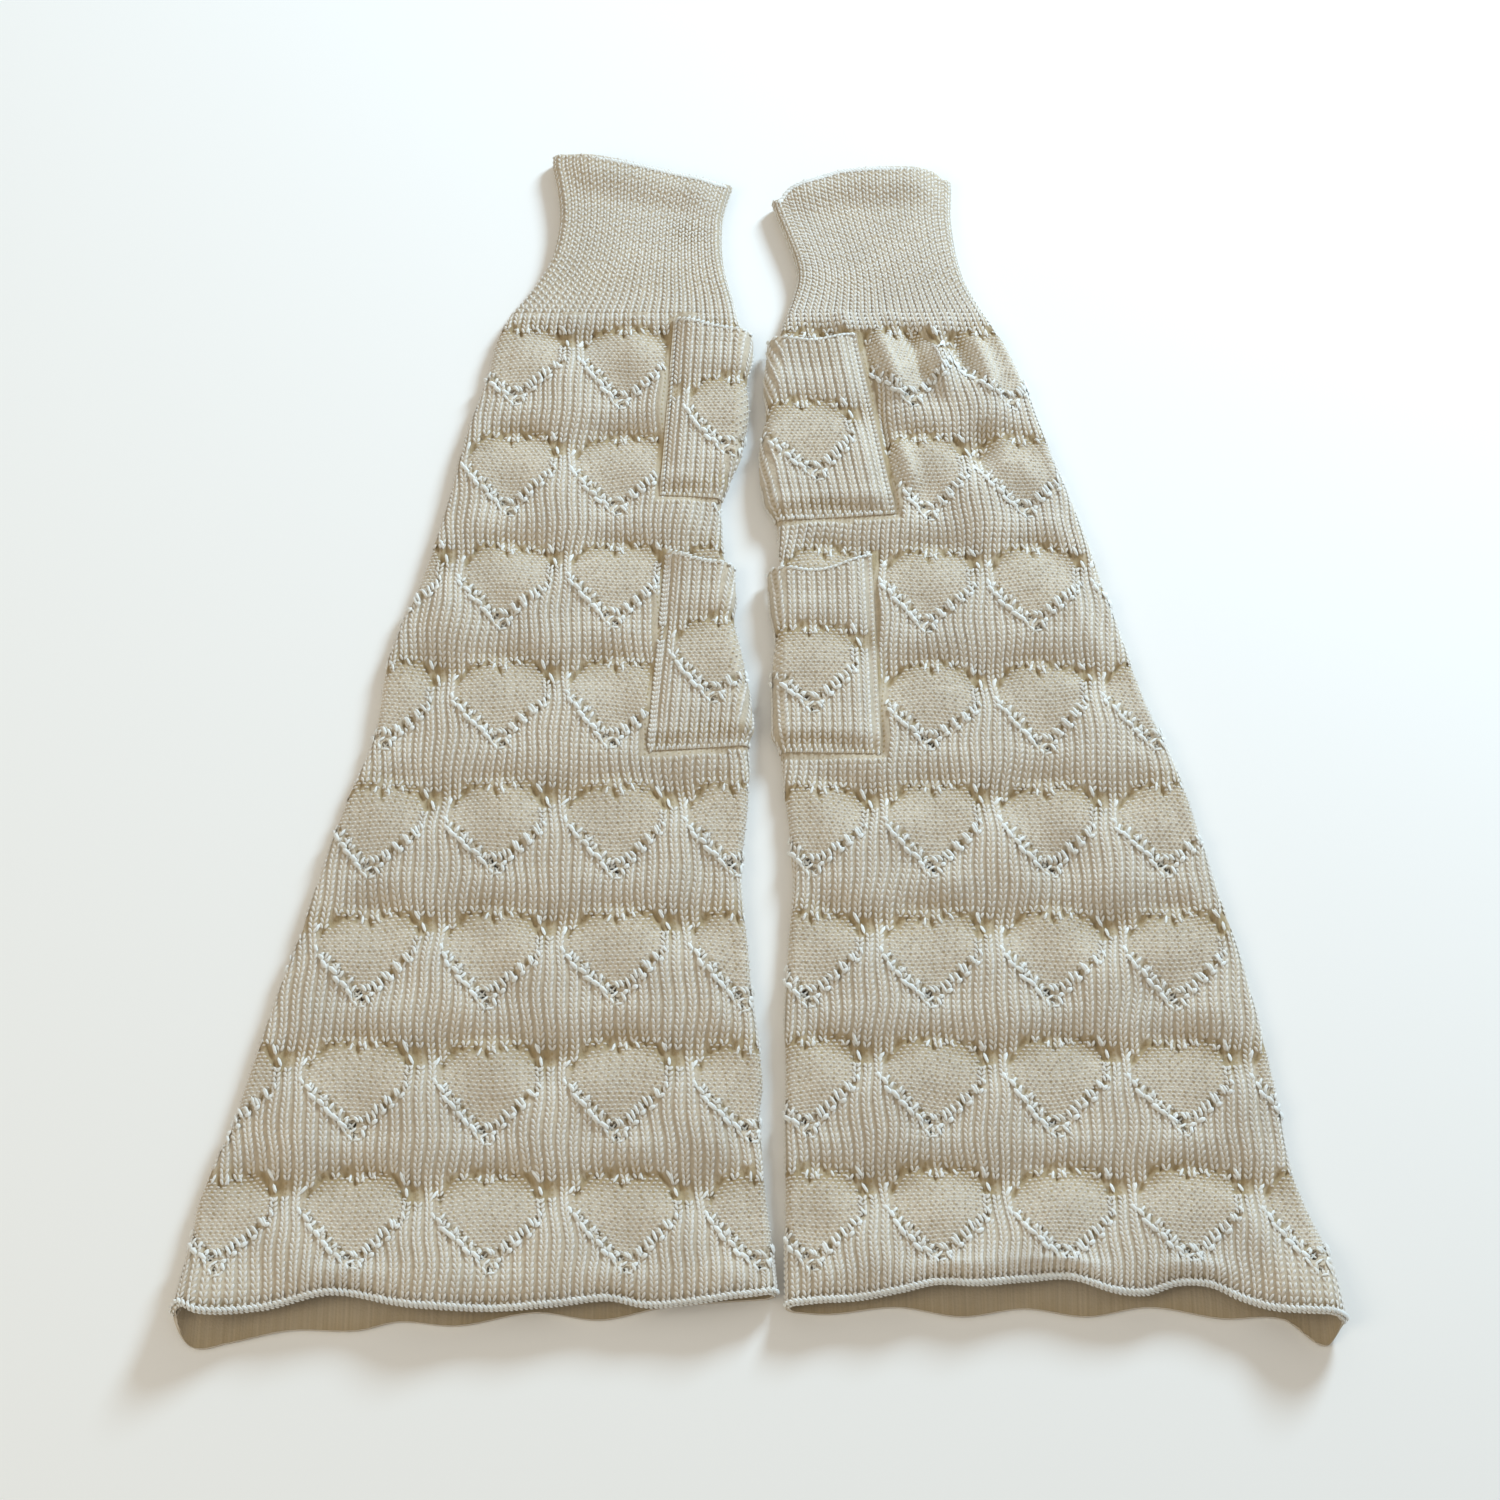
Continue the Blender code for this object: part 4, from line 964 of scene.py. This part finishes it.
def openwork_bars(cloth, low, high, random):
    """The strands round the openwork of every heart, which take the painted highlight colour."""
    columns = np.arange(math.floor(low[0]) - 1, math.ceil(high[0]) + 2)
    rows = np.arange(math.floor(low[1]), math.ceil(high[1]) + 1)
    if cloth.patch:
        columns, rows = np.zeros(1), np.zeros(1)
    column, row = (a.reshape(-1).astype(float) for a in np.meshgrid(columns, rows))
    groups = []
    for k, (bx, by, half_length, half_width, turn, lift) in enumerate(BARS):
        y = course_to_y(cloth.leg, row + by / BAR_ROW)
        # The strands that frame the holes stay with them.
        loose = 0.5 * (k >= len(RING))
        jx = bx + loose * jitter(column, row, k) + random.uniform(-0.25, 0.25, row.shape)
        jy = by + loose * jitter(column, row, k + 2) + random.uniform(-0.25, 0.25, row.shape)
        wale = column + cloth.side * jx / cloth.pitch(y)
        course = row + jy / cloth.row_height(row)
        keep = (course > low[1]) & (course < high[1]) & ~cloth.hidden(wale, course)
        turns = turn + random.uniform(-9, 9, row.shape)
        length = half_length * random.uniform(0.85, 1.15, row.shape)
        strands = scatter(cloth, wale[keep], course[keep],
                          (length[keep], half_width, half_width * 1.1), turns[keep],
                          lift - BAR_SUNK)
        groups.append((strands, STRAND_FACES))
    return groups


def edge_chain(cloth, wale, course, lift, half_length, half_width, turn, random):
    """A bound-off edge: slanting loops side by side."""
    turns = about(random, 6, wale, turn)
    size = (half_length, half_width, half_width * 1.5)
    return [(scatter(cloth, wale, course, size, turns, lift), STRAND_FACES)]


# Patterns of the yarn: scales, and ranges from which to which share or level they are brought.
CELL_MIDDLE = (0.5, 0.5, 0.0)
LOOP_HOLE_SCALE, LOOP_HOLE_SHADE = (9.0, 3.6, 0.0), (0.5, 1.2, 0.55, 0.0)
GRAIN_SCALE, GRAIN_SHADE = (4.5, 0.8, 1.0), (0.32, 0.68, 0.86, 1.05)
MOTTLE_SCALE, MOTTLE_SHADE, MOTTLE_SHARE = 55.0, (0.3, 0.7, 0.8, 1.0), 0.5
TONE_SPREAD = 0.32        # the darkest strands are this much nearer to the ground's colour
FIBRE_SCALE, FIBRE_DEPTH = 900.0, 0.0006


def plug(tree, made, values):
    """Set a node's inputs to numbers, or link them to other nodes' outputs."""
    for socket, value in values.items():
        if isinstance(value, bpy.types.NodeSocket):
            tree.links.new(value, made.inputs[socket])
        else:
            made.inputs[socket].default_value = value


def node(tree, kind, values=None, **settings):
    """A new shader node with its settings and its inputs."""
    made = tree.nodes.new("ShaderNode" + kind)
    for key, value in settings.items():
        setattr(made, key, value)
    plug(tree, made, values or {})
    return made


def vector_step(tree, operation, vector, other=(0.0, 0.0, 0.0), result="Vector"):
    return node(tree, "VectorMath", {0: vector, 1: other}, operation=operation).outputs[result]


def remap(tree, value, low, high, to_low, to_high):
    """A number brought from one range to another."""
    return node(tree, "MapRange", {"Value": value, "From Min": low, "From Max": high,
                                   "To Min": to_low, "To Max": to_high}).outputs["Result"]


def multiplied(tree, tint, level, share):
    """A colour times a grey level, by a share."""
    return node(tree, "Mix", {"Factor": share, "A": tint, "B": level}, data_type="RGBA",
                blend_type="MULTIPLY").outputs["Result"]


def loop_hole_shade(tree, uv):
    """Share of painted shade for the small hole in the middle of each stitch, which is not cut."""
    cell = vector_step(tree, "FRACTION", uv)
    away = vector_step(tree, "SUBTRACT", cell, CELL_MIDDLE)
    scaled = vector_step(tree, "MULTIPLY", away, LOOP_HOLE_SCALE)
    return remap(tree, vector_step(tree, "LENGTH", scaled, result="Value"), *LOOP_HOLE_SHADE)


def grain(tree, uv, tint):
    """The colour with fine streaks of fibres along the wales."""
    stretched = vector_step(tree, "MULTIPLY", uv, GRAIN_SCALE)
    streaks = node(tree, "TexNoise", {"Scale": 1.0, "Detail": 2.0, "Vector": stretched})
    return multiplied(tree, tint, remap(tree, streaks.outputs["Fac"], *GRAIN_SHADE), 1.0)


def yarn(name, part):
    """Yarn material: painted shade deepens its colour in the grooves, openwork pieces take a
    painted highlight colour, and fine fibres lie on its surface.
    """
    colours = bpy.context.scene.yarn_colours
    material = bpy.data.materials.new(name)
    material.use_nodes = True
    tree = material.node_tree
    place = node(tree, "TexCoord").outputs["Object"]
    if part == "shell":
        uv = node(tree, "UVMap", uv_map="UVMap").outputs["UV"]
        painted_shade = node(tree, "Attribute", attribute_name="painted_shade").outputs["Fac"]
        share = node(tree, "Math", {0: painted_shade, 1: loop_hole_shade(tree, uv)}, operation="ADD",
                     use_clamp=True).outputs["Value"]
        near, far = colours.ground, colours.groove_shade_colour
    else:
        share = node(tree, "Attribute", attribute_name="tone").outputs["Fac"]
        # Openwork pieces take the painted highlight colour, the others the raised yarn's colour.
        near = colours.bright if part == "openwork" else colours.light
        far = [own + TONE_SPREAD * (ground - own) for own, ground in zip(near, colours.ground)]
    tint = node(tree, "Mix", {"Factor": share, "A": (*near, 1.0), "B": (*far, 1.0)},
                data_type="RGBA").outputs["Result"]
    if part == "shell":
        tint = grain(tree, uv, tint)
    mottle = node(tree, "TexNoise", {"Scale": MOTTLE_SCALE, "Detail": 3.0, "Vector": place})
    level = remap(tree, mottle.outputs["Fac"], *MOTTLE_SHADE)
    fibre = node(tree, "TexNoise", {"Scale": FIBRE_SCALE, "Detail": 2.0, "Vector": place})
    bump = node(tree, "Bump", {"Strength": 0.35, "Distance": FIBRE_DEPTH,
                               "Height": fibre.outputs["Fac"]})
    plug(tree, tree.nodes["Principled BSDF"], {
        "Base Color": multiplied(tree, tint, level, MOTTLE_SHARE), "Roughness": colours.rough,
        "Sheen Weight": colours.sheen, "Sheen Roughness": 0.5, "IOR": 1.45,
        "Specular IOR Level": 0.25, "Normal": bump.outputs["Normal"]})
    return material


def wear(obj, slot, part, replaces=None):
    """Give a piece its finish and its place in the frame."""
    name = slot + "_" + part
    obj.data.materials.append(bpy.data.materials.get(name) or yarn(name, part))
    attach(obj, "root")
    if replaces:
        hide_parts(replaces)


def knitted(name, groups, slot, part="strand"):
    """One piece of many strands, with its finish."""
    obj = joined(name, groups)
    wear(obj, slot, part)
    return obj


def panel_range(cloth):
    low, high = cloth.span()
    return (low, HEM_COURSE), (high, float(y_to_course(cloth.leg, np.array(CUFF_START + 0.2))))


def shell_counts(low, high, per_rib, per_row):
    """Columns and rows of a grid, with the span widened so that crests fall on columns."""
    start = math.floor(low[0] * RIBS * per_rib) + 0.5
    columns = math.ceil((high[0] - low[0]) * RIBS * per_rib) + 2
    end = start + columns - 1
    rows = round((high[1] - low[1]) * per_row) + 1
    scale = RIBS * per_rib
    return ((start / scale, low[1]), (end / scale, high[1])), (columns, rows)


def hem_chain(cloth, low, high, random):
    """The bound-off hem: one row of loops on the edge and one that hangs over it."""
    wale = np.arange(low[0] * HEM_LOOPS, high[0] * HEM_LOOPS) / HEM_LOOPS
    groups = []
    for above, *loops in HEM_CHAINS:
        groups += edge_chain(cloth, wale, np.full(wale.shape, HEM_COURSE + above), *loops, random)
    return groups


# Stitches of a front panel, in the order in which they are knitted; the openwork bars and the hem
# chain take the painted highlight colour.
FRONT_PIECES = [
    ("_front_stitches", knit_legs, "strand"), ("_front_purl", purl_bumps, "strand"),
    ("_front_openwork", openwork_bars, "openwork"), ("_front_hem", hem_chain, "openwork")]


class LEGWARMER_OT_fronts(bpy.types.Operator):
    """Knit the front panels with their openwork hearts"""

    bl_idname = "legwarmer.fronts"
    bl_label = "Front panels"

    def execute(self, context):
        for name, leg in LEGS.items():
            cloth = Panel(leg)
            low, high = panel_range(cloth)
            spans, outer = shell_counts(low, high, *FRONT_GRID)
            _, inner = shell_counts(low, high, *FRONT_INNER_GRID)
            shell = sheet_object(name + "_front_cloth", cloth, spans, outer, inner)
            wear(shell, "lace_knit", "shell", name + "_front_panel")
            random = np.random.default_rng(leg["seed"])
            pieces = [knitted(name + ending, make(cloth, low, high, random), "lace_knit", part)
                      for ending, make, part in FRONT_PIECES]
        return {"FINISHED"}


class LEGWARMER_OT_backs(bpy.types.Operator):
    """Knit the back panels"""

    bl_idname = "legwarmer.backs"
    bl_label = "Back panels"

    def execute(self, context):
        for name, leg in LEGS.items():
            cloth = Panel(leg, back=True)
            spans, size = shell_counts(*panel_range(cloth), *BACK_GRID)
            shell = sheet_object(name + "_back_cloth", cloth, spans, size, size)
            wear(shell, "lace_knit", "shell", name + "_back_panel")
        return {"FINISHED"}


def cuff_place(leg, turn, level, lift):
    """Point of the cuff: turn 0 to 1 over its face, to 2 round the outer fold, to 3 under, to 4."""
    side, wall = leg["side"], mm(sizes().wall)
    fold = (wall + HOLLOW) / 2
    inset = wall / 2 + fold
    seam_height = wall + HOLLOW / 2
    turn, level, lift = (np.asarray(a, float) for a in np.broadcast_arrays(turn, level, lift))
    part = np.clip(np.floor(turn), 0, 3)
    t = turn - part
    fraction = np.select([part == 0, part == 1, part == 2], [t, np.ones_like(t), 1 - t], 0.0)
    y = CUFF_START + (curve(leg["cuff_top"], fraction, 1) - CUFF_START) * level
    inner, outer = curve(leg["cuff"], y, 1), curve(leg["cuff"], y, 2)
    start, end = inner + side * inset, outer - side * inset
    x = start + (end - start) * fraction
    reach = fold + wall / 2 + lift
    wave = -CUFF_WAVE * level * np.sin(2 * np.pi * fraction)
    flare = CUFF_FLARE * soft_step((level - CUFF_FLARE_START) / CUFF_FLARE_REACH)
    flare = flare * soft_step(6 * fraction * (1 - fraction))
    face_z = seam_height + reach + wave + flare
    angle = np.where(part == 1, np.pi * (0.5 - t), np.pi * (1.5 - t))
    centre = np.where(part == 1, end, start)
    fold_x = centre + side * reach * np.cos(angle)
    fold_z = seam_height + reach * np.sin(angle)
    under_z = -lift
    on_fold = (part == 1) | (part == 3)
    z = np.where(part == 0, face_z, np.where(part == 2, under_z, fold_z))
    return np.stack([np.where(on_fold, fold_x, x), y, z], -1)


def cuff_ribs(leg):
    """Rib numbers at both ends of the cuff's face, and how many ribs go round half a fold."""
    wall = mm(sizes().wall)
    inset = wall + HOLLOW / 2
    y, first, pitch = leg["top"]
    ends = [(curve(leg["edges"], y, k) + leg["side"] * sign * inset - first) * leg["side"] / pitch
            for k, sign in ((1, 1), (2, -1))]
    start, end = (RIBS * (wale - 0.5) for wale in ends)
    return start, end, (wall + HOLLOW / 2) * math.pi / 2 / (pitch / RIBS)


def cuff_turn(leg, share):
    """Place round the cuff at an even share of all its ribs."""
    start, end, half_fold = cuff_ribs(leg)
    steps = np.cumsum([0, end - start, 2 * half_fold, end - start, 2 * half_fold])
    return np.interp(share * steps[-1], steps, [0, 1, 2, 3, 4])


def cuff_rib(leg, turn):
    """Rib number at a place round the cuff; a crest has a whole number."""
    start, end, half_fold = cuff_ribs(leg)
    part = np.clip(np.floor(turn), 0, 3)
    t = turn - part
    over = half_fold * (1 - np.abs(2 * t - 1))
    return np.select([part == 0, part == 1, part == 2],
                     [start + (end - start) * t, end + over, end + (start - end) * t], start - over)


def cuff_near(level):
    """1 at the cuff's join, 0 from a fifth of its height on."""
    return np.clip(1.0 - level * 5.0, 0.0, 1.0)


class LEGWARMER_OT_cuffs(bpy.types.Operator):
    """Knit the ribbed cuffs"""

    bl_idname = "legwarmer.cuffs"
    bl_label = "Ribbed cuffs"

    def execute(self, context):
        for name, leg in LEGS.items():
            shell = self.cloth(name + "_cuff_cloth", leg)
            wear(shell, "rib_knit", "shell", name + "_cuff")
            stitches = knitted(name + "_cuff_stitches", self.stitches(leg), "rib_knit")
            # The bound-off edge takes the painted highlight colour.
            edge = knitted(name + "_cuff_edge", self.edge(leg), "rib_knit", "openwork")
        return {"FINISHED"}

    def cloth(self, name, leg):
        """The cuff's tube; its ribs are as clear as the panel's at the join, and flatter above."""
        # Rows run up the outer face, over the edge, down the inner face and back to the first.
        outer, inner = CUFF_ROWS
        level = np.concatenate([np.linspace(0, 1, outer), [CUFF_EDGE[0]],
                                np.linspace(1, 0, inner), [0.0]])
        lift = np.concatenate([np.zeros(outer), [CUFF_EDGE[1]], np.full(inner, -CUFF_WALL), [0.0]])
        mesh, share_x, share_y = grid(CUFF_COLUMNS, len(level))
        row = np.round(share_y * (len(level) - 1)).astype(int)
        level, lift = level[row], lift[row]
        turn = cuff_turn(leg, share_x)
        rib = cuff_rib(leg, turn)
        crest = rib_crest(rib)
        clear = 0.35 + 0.65 * (1.0 - level) ** 2
        near = cuff_near(level)
        dent = leg["cuff_dent"] * np.exp(
            -((np.where(turn > 3, turn - 4, turn) - 0.17) / 0.12) ** 2
            - ((level - 0.6) / 0.10) ** 2)
        height = (0.38 * clear + 0.27 * near) * crest - 0.4 * clear - 0.09 * near
        height = np.where(lift == 0, height - 0.25 * dent, -0.2 + 0.2 * crest)
        # Nothing stands out below, where the cuff lies on the floor.
        height = np.where(np.abs(turn - 2.5) < 1.1, np.minimum(height, 0.0), height)
        # Painted shade: a darker base that lightens at the join, darker down the grooves and in the
        # dent.
        shade = 0.46 - 0.26 * near + (0.24 * clear + 0.10 * near) * (1 - crest) + 0.2 * dent
        place_verts(mesh, to_scene(cuff_place(leg, turn, level, height + lift)))
        put_values(mesh, shade, rib + 0.5, level * CUFF_COURSES)
        bmesh.ops.remove_doubles(mesh, verts=mesh.verts, dist=MERGE)
        if leg["side"] < 0:
            bmesh.ops.reverse_faces(mesh, faces=mesh.faces)
        return finish_mesh(name, mesh)

    def stitches(self, leg):
        random = np.random.default_rng(21)
        start, end, half_fold = cuff_ribs(leg)
        ribs = np.arange(math.ceil(start - half_fold), math.floor(end + half_fold) + 1.0)
        rows = np.arange(leg["cuff_first_row"], CUFF_COURSES)
        rib, row = (a.reshape(-1) for a in np.meshgrid(ribs, rows))
        near = cuff_near((row + 0.5) / CUFF_COURSES)
        loose = 1.0 - 0.8 * near
        size = (1.15 + 0.35 * near, 0.5 + 0.06 * near, 0.42 + 0.20 * near)
        groups = []
        for hand in (-1, 1):
            aside = rib + hand * 0.23 + loose * about(random, 0.04, rib, 0.0)
            before, beyond = (start - aside) / (2 * half_fold), (aside - end) / (2 * half_fold)
            turn = np.select([before > 0, beyond > 0], [4 - before, 1 + beyond],
                             (aside - start) / (end - start))
            lean = 22 * hand * leg["side"] + loose * about(random, 18, rib, 0.0)
            shift = loose * (0.25 * hand + random.uniform(-0.2, 0.2, rib.shape))
            level = (row + 0.5 + shift) / CUFF_COURSES
            groups.append((cuff_scatter(leg, turn, level, size, lean), STRAND_FACES))
        return groups

    def edge(self, leg):
        """The bound-off edge, sunk into the cloth where it lies on the floor."""
        random = np.random.default_rng(22)
        turn = cuff_turn(leg, np.arange(0, 1, 1 / CUFF_LOOPS))
        lean = about(random, 6, turn, 118)
        lift = 0.1 - 0.8 * soft_step(4.0 - 2.0 * np.abs(turn - 2.5))
        level = np.full(turn.shape, 0.985)
        return [(cuff_scatter(leg, turn, level, (1.7, 0.85, 0.55), lean, lift), STRAND_FACES)]


def cuff_scatter(leg, turn, level, size, lean, lift=0.0):
    """Strands on the cuff, leaning so many degrees from its length."""
    middle = cuff_place(leg, turn, level, lift)
    across = (cuff_place(leg, (turn + STEP) % 4, level, lift) - middle) * leg["side"]
    along = cuff_place(leg, turn, level + CUFF_STEP, lift) - middle
    return copies(STRAND, middle, across, along, size, 90 - lean)


class LEGWARMER_OT_pockets(bpy.types.Operator):
    """Sew on the patch pockets"""

    bl_idname = "legwarmer.pockets"
    bl_label = "Patch pockets"

    def execute(self, context):
        for leg_name, leg in LEGS.items():
            for pocket_name in leg["pockets"]:
                cloth = Pocket(leg, pocket_name)
                name = leg_name + "_" + pocket_name + "_pocket"
                low, high = spans = cloth.spans()
                columns = round((high[0] - low[0]) * RIBS * POCKET_PER_RIB) + 1
                shell = sheet_object(name + "_cloth", cloth, spans, (columns, POCKET_ROWS[0]),
                                     (columns // 2, POCKET_ROWS[1]))
                wear(shell, "pocket_knit", "shell", name)
                random = np.random.default_rng(31)
                groups = knit_legs(cloth, low, high, random) + purl_bumps(cloth, low, high, random)
                stitches = knitted(name + "_stitches", groups, "pocket_knit")
                # The openwork strands and the top edge take the painted highlight colour.
                groups = openwork_bars(cloth, low, high, random)
                groups += self.end_chain(cloth, 1.0, -0.008, POCKET_TOP_LOOPS, random)
                bars = knitted(name + "_openwork", groups, "pocket_knit", "openwork")
                groups = self.side_chain(cloth, random)
                groups += self.end_chain(cloth, 0.0, 0.014, POCKET_LOW_LOOPS, random)
                seam = knitted(name + "_seam", groups, "pocket_knit")
        return {"FINISHED"}

    def end_chain(self, cloth, share, above, loops, random):
        """Loops along a pocket's bottom, at share 0, or its top, at share 1."""
        low, high = cloth.spans()
        wale = np.arange(low[0] * 2 * RIBS, high[0] * 2 * RIBS) / (2 * RIBS)
        course = cloth_course(cloth, wale, np.full(wale.shape, share), low, high) + above
        return edge_chain(cloth, wale, course, *loops, random)

    def side_chain(self, cloth, random):
        """Stitches that sew down a pocket's free side."""
        low, high = cloth.spans()
        course = np.arange(low[1] * COURSES, high[1] * COURSES) / COURSES
        wale = np.full(course.shape, high[0] - 0.024)
        keep = cloth.edge_distance(*cloth.xy(wale, course))[0] > 1.0
        return edge_chain(cloth, wale[keep], course[keep], *POCKET_SIDE_LOOPS, random)


def aimed(name, data, place, target):
    """A light or a camera at a place, turned to its target."""
    obj = bpy.data.objects.new(name, data)
    obj.location = place
    obj.rotation_euler = (Vector(target) - Vector(place)).to_track_quat("-Z", "Y").to_euler()
    bpy.context.scene.collection.objects.link(obj)
    return obj


def add_light(name, place, power, tint, size):
    data = bpy.data.lights.new(name, "AREA")
    data.energy, data.color, data.shape, data.size = power, tint, "DISK", size
    aimed(name, data, place, (0, 0, 0))


class LEGWARMER_OT_stage(bpy.types.Operator):
    """Set the floor, the lights and the camera"""

    bl_idname = "legwarmer.stage"
    bl_label = "Stage"

    def execute(self, context):
        look = context.scene.stage_look
        mesh = bmesh.new()
        bmesh.ops.create_grid(mesh, x_segments=1, y_segments=1, size=4.0)
        floor = finish_mesh("floor", mesh)
        paint = bpy.data.materials.new("floor_paint")
        paint.use_nodes = True
        plug(paint.node_tree, paint.node_tree.nodes["Principled BSDF"],
             {"Base Color": (*look.floor, 1.0), "Roughness": 0.9})
        floor.data.materials.append(paint)
        add_light("window_light", (0.92, 1.36, 0.80), look.key_power, (0.66, 0.85, 1.0), 0.5)
        add_light("fill_light", (-1.3, -0.5, 1.5), look.fill_power, (1.0, 0.90, 0.72), 1.2)
        world = bpy.data.worlds.new("room")
        world.use_nodes = True
        plug(world.node_tree, world.node_tree.nodes["Background"],
             {"Color": (1.0, 0.945, 0.85, 1.0), "Strength": look.sky})
        context.scene.world = world
        context.scene.view_settings.view_transform = "Standard"
        data = bpy.data.cameras.new("camera")
        data.lens, data.sensor_width = 72.0, 36.0
        # The camera looks at the layout's origin, 25.6 degrees off straight down.
        context.scene.camera = aimed("camera", data, (-0.003554, -0.6006, 1.202),
                                     (-0.003554, -0.024585, 0.0))
        return {"FINISHED"}


class LEGWARMER_PT_panel(bpy.types.Panel):
    """Lists the steps that knit the pair"""

    bl_label = "Leg warmers"
    bl_idname = "LEGWARMER_PT_panel"
    bl_space_type = "VIEW_3D"
    bl_region_type = "UI"
    bl_category = "Leg warmers"

    def draw(self, context):
        scene = context.scene
        for group in (scene.knit_sizes, scene.yarn_colours, scene.stage_look):
            box = self.layout.box()
            for key in group.__annotations__:
                box.prop(group, key)
        for step in STEPS:
            self.layout.operator(step.bl_idname)


STEPS = (LEGWARMER_OT_stage, LEGWARMER_OT_backs, LEGWARMER_OT_fronts, LEGWARMER_OT_cuffs,
         LEGWARMER_OT_pockets)
CLASSES = (KnitSizes, YarnColours, StageLook) + STEPS + (LEGWARMER_PT_panel,)


def register():
    for item in CLASSES:
        bpy.utils.register_class(item)
    bpy.types.Scene.knit_sizes = bpy.props.PointerProperty(type=KnitSizes)
    bpy.types.Scene.yarn_colours = bpy.props.PointerProperty(type=YarnColours)
    bpy.types.Scene.stage_look = bpy.props.PointerProperty(type=StageLook)


def unregister():
    del bpy.types.Scene.stage_look
    del bpy.types.Scene.yarn_colours
    del bpy.types.Scene.knit_sizes
    for item in reversed(CLASSES):
        bpy.utils.unregister_class(item)


def main():
    register()
    for step in STEPS:
        space, action = step.bl_idname.split(".")
        getattr(getattr(bpy.ops, space), action)()


if __name__ == "__main__":
    main()
